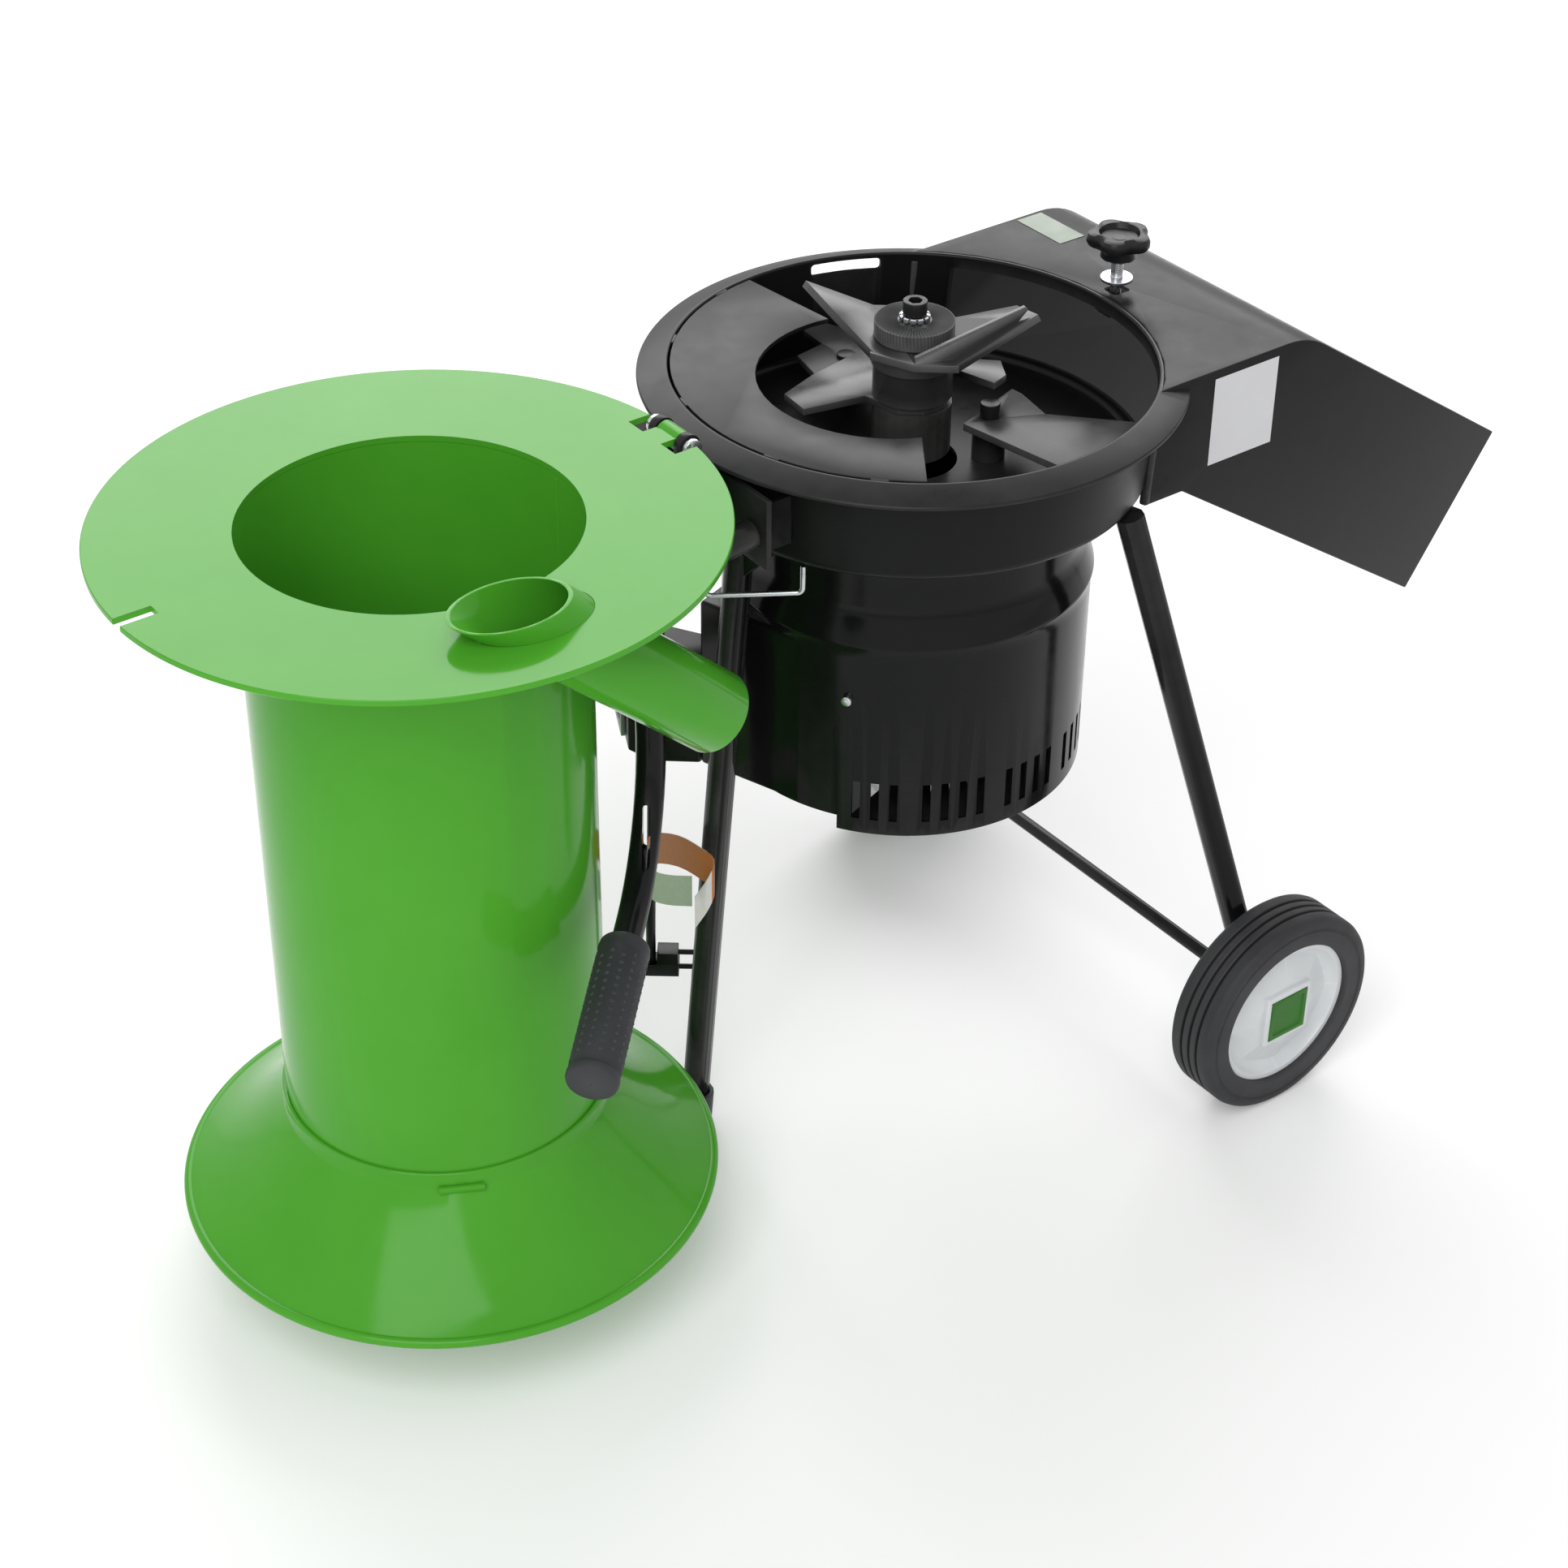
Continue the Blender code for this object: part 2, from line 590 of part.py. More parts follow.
def make_counter_knives():
    """Two fixed counter knives on posts, each with a bolt."""
    for number, (shape, bolt) in enumerate(zip((COUNTER_FAR, COUNTER_NEAR), COUNTER_BOLTS), 1):
        middle = COUNTER_TOP - COUNTER_THICK / 2
        knife = plate("counter_knife_%d" % number, [sized(shape)], COUNTER_THICK, middle,
                      "knife_steel")
        x, y, head_height = (size * MM for size in bolt)
        foot = DRUM_FLOOR + DRUM_WALL + GAP
        post = pin("post_%d" % number, 11 * MM, (x, y, foot), (x, y, middle))
        bore = pin("post_bore_%d" % number, 4.5 * MM, (x, y, foot + 14 * MM),
                   (x, y, COUNTER_TOP + 5 * MM), sides=TINY)
        join(knife, post)
        cut(knife, bore)
        head = pin("counter_bolt_%d" % number, 6.5 * MM, (x, y, COUNTER_TOP + GAP),
                   (x, y, COUNTER_TOP + head_height), "zinc")
        shank = pin("counter_shank_%d" % number, 4 * MM, (x, y, foot + 16 * MM),
                    (x, y, COUNTER_TOP + 1 * MM), sides=TINY)
        join(head, shank)


def make_knife_set():
    """Hub, two knives, spacer, clamping disc, spring washer and cap screw."""
    bore = SHAFT_RADIUS + GAP
    knife_low = LOWER_KNIFE_TOP - KNIFE_THICK
    wing_low = UPPER_KNIFE_TOP - KNIFE_THICK
    hub = ring("rotor_hub", bore, HUB_RADIUS, HUB_BOTTOM, knife_low - GAP, "black_steel")
    step = LOWER_KNIFE_TOP + (wing_low - LOWER_KNIFE_TOP) * 0.65
    profile = [(HUB_RADIUS + SPACER_STEP, wing_low - GAP), (HUB_RADIUS + SPACER_STEP, step)]
    profile += [(HUB_RADIUS, step - 1 * MM), (HUB_RADIUS, LOWER_KNIFE_TOP + GAP)]
    profile += [(bore, LOWER_KNIFE_TOP + GAP), (bore, wing_low - GAP)]
    spacer = turned("knife_spacer", profile, "black_steel", MEDIUM)

    lower = plate("lower_knife", [sized(LOWER_KNIFE_EDGE)], KNIFE_THICK,
                  LOWER_KNIFE_TOP - KNIFE_THICK / 2, "knife_steel")
    cut(lower, pin("lower_knife_bore", bore, (0, 0, knife_low - 5 * MM),
                   (0, 0, LOWER_KNIFE_TOP + 5 * MM)))

    screw_bore = CAP_SCREW_SHANK + GAP
    half_length, near_side, far_side = 28 * MM, -41.5 * MM, 26 * MM
    core = [(-half_length, -far_side), (0, near_side), (half_length, near_side)]
    core += [(half_length, far_side), (0, -near_side), (-half_length, -near_side)]
    upper = plate("upper_knife", [spun(core, WING_AZIMUTH)], KNIFE_THICK,
                  UPPER_KNIFE_TOP - KNIFE_THICK / 2, "knife_steel")
    root_x = half_length - 1.5 * MM
    for side, turn in (("a", WING_AZIMUTH), ("b", WING_AZIMUTH + math.pi)):
        wing = [(-0.5 * MM, near_side)] + sized(WING_TIPS[side]) + [(-0.5 * MM, far_side)]
        blade = plate("wing_" + side, [wing], KNIFE_THICK, 0)
        root = Matrix.Translation((root_x, 0, UPPER_KNIFE_TOP - KNIFE_THICK / 2))
        blade.matrix_world = (Matrix.Rotation(turn, 4, "Z") @ root
                              @ Matrix.Rotation(-WING_RISE, 4, "Y"))
        join(upper, blade)
    slope = math.tan(WING_RISE)

    def above_wing(along, lift):
        """A point of the fin's side view, a lift above the wing it stands on."""
        return (along, max(along * math.cos(FIN_AZIMUTH) - root_x, 0) * slope + lift)

    fin = [(0, 4 * MM), (0, -2 * MM), above_wing(28 * MM, -2 * MM), above_wing(64 * MM, -2 * MM)]
    fin += [above_wing(74 * MM, 5 * MM), above_wing(72 * MM, 8 * MM)]
    edge = plate("fin", [fin], 3.4 * MM, 0, upright=True)
    stand = Matrix.Translation((0, near_side + 3 * MM, UPPER_KNIFE_TOP))
    edge.matrix_world = (Matrix.Rotation(WING_AZIMUTH, 4, "Z") @ stand
                         @ Matrix.Rotation(FIN_AZIMUTH, 4, "Z") @ edge.matrix_world)
    join(upper, edge)
    cut(upper, pin("upper_knife_bore", screw_bore, (0, 0, wing_low - 5 * MM),
                   (0, 0, UPPER_KNIFE_TOP + 5 * MM), sides=TINY))

    disc_low = UPPER_KNIFE_TOP + GAP
    disc_high = UPPER_KNIFE_TOP + CLAMP_DISC_THICK
    disc = ring("clamp_disc", screw_bore, HUB_RADIUS, disc_low, disc_high, "black_steel")
    spring_low = disc_high + GAP
    spring_high = spring_low + SPRING_WASHER_THICK
    spring = ring("spring_washer", screw_bore, CAP_SCREW_RADIUS + 2 * MM, spring_low,
                  spring_high, "zinc", SMALL)
    head_low = spring_high + GAP
    head_high = head_low + CAP_SCREW_HEIGHT
    cap = pin("cap_screw", CAP_SCREW_RADIUS, (0, 0, head_low), (0, 0, head_high), "black_steel")
    shank_low = wing_low - CAP_SCREW_GRIP
    join(cap, pin("cap_shank", CAP_SCREW_SHANK, (0, 0, shank_low), (0, 0, head_low + 2 * MM),
                  sides=TINY))
    cut(cap, pin("cap_socket", 4.6 * MM, (0, 0, head_high - 5.5 * MM),
                 (0, 0, head_high + 5 * MM), sides=6))
    shaft_low = FAN_TOP - FAN_HEIGHT - 4 * MM
    shaft = pin("motor_shaft", SHAFT_RADIUS, (0, 0, shaft_low), (0, 0, wing_low - GAP), "zinc")
    cut(shaft, pin("shaft_thread", screw_bore, (0, 0, shank_low - 3 * MM),
                   (0, 0, wing_low + 5 * MM), sides=TINY))
    return [hub, spacer, lower, upper, disc, spring, cap, shaft]


def make_motor():
    """Stator, end shields, bearings and capacitor, and the rotor core and fan that turn."""
    bore = SHAFT_RADIUS + GAP
    top = STATOR_BOTTOM + STATOR_HEIGHT
    ring("motor_stator", STATOR_BORE, STATOR_RADIUS, STATOR_BOTTOM, top, "copper")
    core = ring("rotor_core", bore, STATOR_BORE - ROTOR_AIR_GAP, STATOR_BOTTOM + 8 * MM,
                top - 8 * MM, "zinc")
    seat = BEARING_RADIUS + GAP
    for name, face, out in (("upper", top + GAP, 1), ("lower", STATOR_BOTTOM - GAP, -1)):
        back = face + out * SHIELD_THICK
        tip = back + out * BEARING_WIDTH
        profile = [(STATOR_RADIUS, face), (STATOR_RADIUS, back), (SHIELD_HUB, back)]
        profile += [(SHIELD_HUB, tip), (seat, tip), (seat, face)]
        if out > 0:
            profile.reverse()
        turned(name + "_end_shield", profile, "plastic_black", MEDIUM)
        low, high = sorted((tip - out * 1 * MM, face + out * 4 * MM))
        ring(name + "_bearing", bore, BEARING_RADIUS, low, high, "zinc", SMALL)
    fan_low = FAN_TOP - FAN_HEIGHT
    profile = [(FAN_RADIUS, FAN_TOP), (FAN_RADIUS, FAN_TOP - 2 * MM), (FAN_BOSS, FAN_TOP - 2 * MM)]
    profile += [(FAN_BOSS, fan_low), (bore, fan_low), (bore, FAN_TOP)]
    fan = turned("cooling_fan", profile, "plastic_black", SMALL * 2)
    vane_low, vane_high = fan_low + 1 * MM, FAN_TOP - 1 * MM
    vane_in, vane_out = FAN_BOSS - 3 * MM, FAN_RADIUS - 4 * MM
    for number in range(FAN_BLADES):
        azimuth = math.tau * (number + 0.3) / FAN_BLADES
        x, y = spun([((vane_in + vane_out) / 2, 0)], azimuth)[0]
        vane = block("vane_%d" % number, (vane_out - vane_in, 2.5 * MM, vane_high - vane_low),
                     (x, y, (vane_low + vane_high) / 2), turn=azimuth)
        join(fan, vane)
    face = COVER_RADIUS - 32 * MM
    x, y = annex_point(face, ANNEX_LENGTH - 32 * MM)
    pin("run_capacitor", 18 * MM, (x, y, ANNEX_BOTTOM + 14 * MM),
        (x, y, COVER_BEAD_Z - 40 * MM), "plastic_black")
    return [core, fan]


def annex_box(name, out, along, low, high):
    """A block on the annex, between two plan distances each way."""
    corners = [annex_point(out[0], along[0]), annex_point(out[1], along[0])]
    corners += [annex_point(out[1], along[1]), annex_point(out[0], along[1])]
    return plate(name, [corners], high - low, (low + high) / 2)


def cover_outline(inset):
    """The cover's plan: a circle with the annex running off it at a tangent."""
    radius = COVER_RADIUS - inset
    end = ANNEX_LENGTH - inset
    meet = math.asin(end / radius)
    outline = arc(0, 0, radius, ANNEX_AZIMUTH, ANNEX_AZIMUTH + math.tau - meet, FINE)
    return outline + [annex_point(radius, end)]


def make_motor_cover():
    """The drawn steel cover: a skirt with the annex, a bead, a neck and rows of vents."""
    top = DRUM_FLOOR - GAP
    skirt_top = COVER_BEAD_Z - 4 * MM
    cover = plate("motor_cover", [cover_outline(0), cover_outline(COVER_SHEET)],
                  skirt_top - COVER_BOTTOM, (skirt_top + COVER_BOTTOM) / 2, "black_steel")
    bead = COVER_RADIUS + 1.5 * MM
    lap = COVER_RADIUS - COVER_SHEET / 2
    skin = [(COVER_NECK_RADIUS, top), (COVER_NECK_RADIUS, COVER_BEAD_Z + 26 * MM)]
    skin += [(COVER_NECK_RADIUS + 3 * MM, COVER_BEAD_Z + 17 * MM), (bead, COVER_BEAD_Z + 6 * MM)]
    skin += [(bead, COVER_BEAD_Z - 3 * MM), (COVER_RADIUS + 0.5 * MM, COVER_BEAD_Z - 9 * MM)]
    room = [(lap, COVER_BEAD_Z - 9 * MM), (lap, COVER_BEAD_Z + 4 * MM)]
    room += [(COVER_NECK_RADIUS + 1 * MM, COVER_BEAD_Z + 15 * MM)]
    room += [(COVER_NECK_RADIUS - COVER_SHEET, COVER_BEAD_Z + 25 * MM)]
    room += [(COVER_NECK_RADIUS - COVER_SHEET, top - COVER_SHEET), (COVER_PORT, top - COVER_SHEET)]
    room += [(COVER_PORT, top)]
    join(cover, turned("cover_crown", skin + room))
    meet = math.asin((ANNEX_LENGTH - COVER_SHEET / 2) / COVER_RADIUS)
    lid = arc(0, 0, COVER_RADIUS, ANNEX_AZIMUTH - meet, ANNEX_AZIMUTH, 12)
    lid += [annex_point(lap, 0), annex_point(lap, ANNEX_LENGTH - COVER_SHEET / 2)]
    join(cover, plate("annex_lid", [lid], COVER_SHEET, skirt_top - COVER_SHEET))
    cut(cover, annex_box("annex_notch", (50 * MM, COVER_RADIUS + 20 * MM),
                         (ANNEX_START, ANNEX_LENGTH + 20 * MM),
                         COVER_BOTTOM - 20 * MM, ANNEX_BOTTOM))
    slots = bmesh.new()
    size = Matrix.Diagonal((20 * MM, VENT_WIDTH, VENT_HIGH - VENT_LOW, 1))
    for group in range(10):
        for slot in range(4):
            azimuth = VENT_FIRST + VENT_GROUP_PITCH * group + VENT_PITCH * (slot - 1.5)
            if azimuth < math.radians(-145) or azimuth > math.radians(112):
                continue
            spot = Matrix.Rotation(azimuth, 4, "Z")
            spot = spot @ Matrix.Translation((COVER_RADIUS, 0, (VENT_LOW + VENT_HIGH) / 2))
            bmesh.ops.create_cube(slots, size=1, matrix=spot @ size)
    mesh = bpy.data.meshes.new("vent_slots")
    slots.to_mesh(mesh)
    slots.free()
    vents = place(bpy.data.objects.new("vent_slots", mesh), "vent_slots")
    return cut(cover, vents)


def make_base_plate():
    """The cover's floor, with a ring of air slots under the fan."""
    reach = COVER_RADIUS - COVER_SHEET - 2 * GAP
    outlines = [arc(0, 0, reach, 0, math.tau, FINE)[:-1]]
    for number in range(BASE_SLOTS):
        azimuth = math.tau * (number + 0.5) / BASE_SLOTS
        slot = [(34 * MM, -4 * MM), (76 * MM, -4 * MM), (76 * MM, 4 * MM), (34 * MM, 4 * MM)]
        outlines.append(spun(slot, azimuth))
    base = plate("base_plate", outlines, COVER_SHEET, COVER_BOTTOM + 1.5 * MM, "black_steel")
    return cut(base, annex_box("base_notch", (49 * MM, COVER_RADIUS + 20 * MM),
                               (ANNEX_START - 1 * MM, ANNEX_LENGTH + 40 * MM),
                               COVER_BOTTOM - 20 * MM, ANNEX_BOTTOM))


def make_switch():
    """Switch box with its cut-off lower corner, a bezel, a rocker and the cord's gland."""
    end = ANNEX_LENGTH + GAP
    near, far = BOX_NEAR.xy, BOX_FAR.xy
    outline = [annex_point(COVER_RADIUS, end), tuple(near), tuple(far)]
    outline += [annex_point(math.sqrt(COVER_RADIUS ** 2 - ANNEX_LENGTH ** 2) + 1 * MM, end)]
    low, high = ANNEX_BOTTOM, ANNEX_BOTTOM + BOX_HEIGHT
    box = plate("switch_box", [outline], BOX_HEIGHT, (low + high) / 2, "black_steel")
    middle = (BOX_NEAR + BOX_FAR) / 2
    turn = math.atan2(SWITCH_OUT.y, SWITCH_OUT.x)
    face = middle + Vector((0, 0, ROCKER_CENTRE_Z))
    corner = block("box_corner", (26 * MM, 90 * MM, 24 * MM), (0, 0, 0))
    slant = Matrix.Rotation(math.radians(-28), 4, "Y")
    corner.matrix_world = (Matrix.Translation(middle + Vector((0, 0, low - 5 * MM)))
                           @ Matrix.Rotation(turn, 4, "Z") @ slant
                           @ Matrix.Translation((8 * MM, 0, 0)))
    pocket = block("rocker_pocket", (36 * MM, ROCKER_WIDTH + 2 * ROCKER_ROOM,
                                     ROCKER_HEIGHT + 4 * ROCKER_ROOM), face, turn=turn)
    cut(box, corner, pocket)
    bezel = block("switch_bezel", (BEZEL_STAND, BEZEL_WIDTH, BEZEL_HEIGHT),
                  face + SWITCH_OUT * (BEZEL_STAND / 2 + GAP), "grey_frame", turn)
    cut(bezel, block("bezel_window", (BEZEL_STAND * 4, ROCKER_WIDTH + 2 * ROCKER_ROOM,
                                      ROCKER_HEIGHT + 4 * ROCKER_ROOM), face, turn=turn))
    half = ROCKER_HEIGHT / 2
    dip = half * math.tan(ROCKER_TILT)
    side = [(-ROCKER_DEPTH, -half * 0.7), (BEZEL_STAND, -half), (BEZEL_STAND - dip, 0)]
    side += [(BEZEL_STAND, half), (-ROCKER_DEPTH, half * 0.7)]
    rocker = plate("switch_rocker", [side], ROCKER_WIDTH, 0, "signal_red", upright=True)
    rocker.matrix_world = (Matrix.Translation(face) @ Matrix.Rotation(turn, 4, "Z")
                           @ Matrix.Rotation(ROCKER_TILT, 4, "Y")
                           @ Matrix.Rotation(math.pi / 2, 4, "X"))
    exit_low = (CORD_EXIT.x, CORD_EXIT.y, low - GLAND_LENGTH)
    pin("cord_gland", GLAND_RADIUS, exit_low, (CORD_EXIT.x, CORD_EXIT.y, low - GAP),
        "plastic_black", sides=TINY)
    return rocker


def make_hopper():
    """Flange with its hinge barrel, tube, cone and the slanting branch tube."""
    flange_middle = FLANGE_FACE - FLANGE_THICK / 2
    flange_disc = pin("hopper_flange", FLANGE_RADIUS, (HOPPER_X, 0, FLANGE_UNDER),
                      (HOPPER_X, 0, FLANGE_FACE), "green_paint", FINE)
    mouth = pin("flange_mouth", HOPPER_TUBE_RADIUS - HOPPER_SHEET,
                (HOPPER_X, 0, FLANGE_UNDER - 5 * MM), (HOPPER_X, 0, FLANGE_FACE + 5 * MM),
                sides=FINE)
    tools = [mouth]
    edge = HINGE_X - NOTCH_DEPTH
    for sign in (-1, 1):
        middle = sign * (TONGUE_HALF + NOTCH_OUTER) / 2
        tools.append(block("notch_%d" % (sign + 2), (40 * MM, NOTCH_OUTER - TONGUE_HALF, 30 * MM),
                           (edge + 20 * MM, middle, flange_middle)))
    slot_end = HOPPER_X - FLANGE_RADIUS + CLAMP_SLOT_DEPTH
    tools.append(block("clamp_slot", (60 * MM, CLAMP_SLOT_HALF * 2, 30 * MM),
                       (slot_end - 30 * MM, 0, flange_middle)))
    lean = Vector((math.sin(BRANCH_LEAN), 0, -math.cos(BRANCH_LEAN)))
    through = Vector((HOPPER_X, BRANCH_Y, FLANGE_FACE))
    tools.append(pin("branch_hole", BRANCH_RADIUS + GAP, through - lean * 60 * MM,
                     through + lean * 60 * MM))
    axis = Vector((HINGE_X, 0, HINGE_Z))
    half = Vector((0, TONGUE_HALF, 0))
    join(flange_disc, pin("hinge_barrel", BARREL_RADIUS, axis - half, axis + half))
    cut(flange_disc, *tools)
    cut(flange_disc, pin("barrel_bore", HINGE_PIN_RADIUS + GAP, axis - half * 2, axis + half * 2,
                         sides=TINY))

    tube_top = FLANGE_UNDER - GAP
    tube = ring("hopper_tube", HOPPER_TUBE_RADIUS - HOPPER_SHEET, HOPPER_TUBE_RADIUS,
                CONE_NECK_Z, tube_top, "green_paint", FINE)
    tube.location.x = HOPPER_X
    cut(tube, pin("branch_seat", BRANCH_RADIUS + GAP, through - lean * 60 * MM,
                  through + lean * BRANCH_LENGTH))
    sleeve = HOPPER_TUBE_RADIUS + GAP
    rim, rim_z = CONE_RIM_RADIUS, CONE_RIM_Z
    bead = arc(rim, rim_z, CONE_BEAD, math.radians(115), math.radians(-165), 5)
    waist, waist_z = (sleeve + rim) / 2, (CONE_NECK_Z + rim_z) / 2 - CONE_SAG
    profile = [(sleeve + HOPPER_SHEET, CONE_NECK_Z + CONE_SLEEVE)]
    profile += [(sleeve + HOPPER_SHEET, CONE_NECK_Z), (waist + 1 * MM, waist_z + 1 * MM)] + bead
    profile += [(waist - 1 * MM, waist_z - 1 * MM)]
    profile += [(sleeve, CONE_NECK_Z - HOPPER_SHEET), (sleeve, CONE_NECK_Z + CONE_SLEEVE)]
    cone = turned("hopper_cone", profile, "green_paint")
    cone.location.x = HOPPER_X

    top_point = through - lean * 60 * MM
    low_point = through + lean * BRANCH_LENGTH
    branch = pin("branch_tube", BRANCH_RADIUS, top_point, low_point, "green_paint")
    flare_start = low_point - lean * 5 * MM
    join(branch, pin("branch_flare", BRANCH_RADIUS + BRANCH_FLARE, flare_start, low_point))
    cut(branch, pin("branch_bore", BRANCH_RADIUS - BRANCH_WALL, top_point - lean * 20 * MM,
                    low_point + lean * 20 * MM))
    level = FLANGE_FACE + BRANCH_STAND
    cut(branch, block("branch_level", (300 * MM, 120 * MM, 120 * MM),
                      (through.x, through.y, level + 60 * MM)))
    return flange_disc, tube, cone, branch


def make_hinge():
    """The bracket on the drum's wall with its two lugs, and the hinge pin."""
    back = -(DRUM_OUTER + 6 * MM)
    plate_thick = 4 * MM
    low, high = DRUM_FLOOR + 11 * MM, DRUM_TOP - 14 * MM
    bracket = block("hinge_bracket", (plate_thick, 144 * MM, high - low),
                    (back - plate_thick / 2, 0, (low + high) / 2), "black_steel")
    for number in range(3):
        y = (number - 1) * 62 * MM
        inner = -math.sqrt(DRUM_BORE ** 2 - y ** 2)
        rib = block("rib_%d" % number, (inner - back + 1 * MM, 4 * MM, (high - low) * 0.7),
                    ((inner + back - 1 * MM) / 2, y, (low + high) / 2))
        join(bracket, rib)
    lug_in = -(LIP_REACH + 1.6 * MM)
    lug_out = HINGE_X - BARREL_RADIUS - 1 * MM
    front = back - plate_thick
    eye = arc(HINGE_X, HINGE_Z, HINGE_X - lug_out, 0, math.pi, 12)
    outline = [(front + 2 * MM, low + 8 * MM), (front + 2 * MM, high), (lug_in, high)]
    outline += eye + [(lug_out, high - 8 * MM)]
    for sign in (-1, 1):
        middle = sign * (TONGUE_HALF + LUG_GAP + LUG_THICK / 2)
        join(bracket, plate("lug_%d" % (sign + 2), [outline], LUG_THICK, middle, upright=True))
    cut(bracket, drum_room("bracket_drum_room"))
    reach = TONGUE_HALF + LUG_GAP + LUG_THICK
    span = Vector((0, reach + 4 * MM, 0))
    axis = Vector((HINGE_X, 0, HINGE_Z))
    cut(bracket, pin("lug_bore", HINGE_PIN_RADIUS + GAP, axis - span, axis + span, sides=TINY))
    hinge = pin("hinge_pin", HINGE_PIN_RADIUS, axis - span, axis + span, "zinc", sides=TINY)
    for sign in (-1, 1):
        head = Vector((0, sign * (reach + GAP), 0))
        join(hinge, pin("pin_head_%d" % (sign + 2), HINGE_PIN_RADIUS + 2.5 * MM, axis + head,
                        axis + head + Vector((0, sign * 4 * MM, 0)), sides=TINY))


def make_clamp():
    """Bracket under the hood's sheet, pivot pin, swing bolt, washer and lobed knob."""
    pivot = Vector((CLAMP_X, 0, DRUM_TOP - CLAMP_PIVOT_DROP))
    ceiling = DRUM_TOP - HOOD_SHEET - GAP
    ear_in, ear_out = CLAMP_EYE_HALF + 0.7 * MM, CLAMP_EYE_HALF + 3.7 * MM
    back = DRUM_OUTER + 2 * MM
    base = pivot.z - 6 * MM
    bracket = block("clamp_bracket", (3 * MM, ear_out * 2, ceiling - base),
                    (back + 1.5 * MM, 0, (ceiling + base) / 2), "black_steel")
    length = CLAMP_X + 8 * MM - back
    for sign in (-1, 1):
        ear = block("ear_%d" % (sign + 2), (length, ear_out - ear_in, ceiling - base),
                    (back + length / 2, sign * (ear_in + ear_out) / 2, (ceiling + base) / 2))
        join(bracket, ear)
    half = Vector((0, ear_out + 2 * MM, 0))
    cut(bracket, pin("ear_bore", CLAMP_PIN_RADIUS + GAP, pivot - half, pivot + half, sides=TINY))
    pin("clamp_pin", CLAMP_PIN_RADIUS, pivot - half, pivot + half, "zinc", TINY)

    knob_low = DRUM_TOP + CLAMP_KNOB_ABOVE
    knob_high = knob_low + CLAMP_KNOB_HEIGHT
    stud_top = Vector((CLAMP_X, 0, knob_high - 5 * MM))
    eye_half = Vector((0, CLAMP_EYE_HALF, 0))
    bolt = pin("swing_bolt", CLAMP_EYE_RADIUS, pivot - eye_half, pivot + eye_half, "zinc")
    join(bolt, pin("stud", CLAMP_STUD_RADIUS, pivot + Vector((0, 0, 3.5 * MM)), stud_top,
                   sides=TINY))
    washer_low = DRUM_TOP + CLAMP_WASHER_ABOVE
    collar = pin("stud_collar", CLAMP_STUD_RADIUS + 1.5 * MM, (CLAMP_X, 0, washer_low - 1.2 * MM),
                 (CLAMP_X, 0, washer_low - GAP), sides=TINY)
    join(bolt, collar)
    cut(bolt, pin("eye_bore", CLAMP_PIN_RADIUS + GAP, pivot - half, pivot + half, sides=TINY))
    bore = CLAMP_STUD_RADIUS + GAP
    washer = ring("clamp_washer", bore, 11 * MM, washer_low, washer_low + 2 * MM, "zinc", SMALL)
    washer.location.x = CLAMP_X

    head_low = knob_low + 8 * MM
    ripple = 2.6 * MM
    outline = []
    for step in range(KNOB_POINTS):
        angle = math.tau * step / KNOB_POINTS
        radius = CLAMP_KNOB_RADIUS - ripple + ripple * math.cos(CLAMP_KNOB_LOBES * angle)
        outline.append((CLAMP_X + radius * math.cos(angle), radius * math.sin(angle)))
    head_high = knob_high - 3 * MM
    eyelet = [(CLAMP_X + x, y) for x, y in arc(0, 0, 7 * MM, 0, math.tau, SMALL)[:-1]]
    knob = plate("clamp_knob", [outline, eyelet], head_high - head_low,
                 (head_low + head_high) / 2, "plastic_black")
    waist = (head_low + head_high) / 2
    core = [(0, knob_high), (9 * MM, knob_high), (10.5 * MM, knob_high - 1.5 * MM)]
    core += [(10.5 * MM, waist), (12 * MM, waist), (12 * MM, knob_low), (bore, knob_low)]
    core += [(bore, stud_top.z + 2 * MM), (0, stud_top.z + 2 * MM)]
    core = turned("knob_core", core, steps=SMALL, closed=False)
    core.location.x = CLAMP_X
    join(knob, core)
    return bolt, washer, knob


def mirrored(point, sign):
    """A point on the left (+1) or right (-1) side."""
    return Vector((point.x, sign * point.y, point.z))


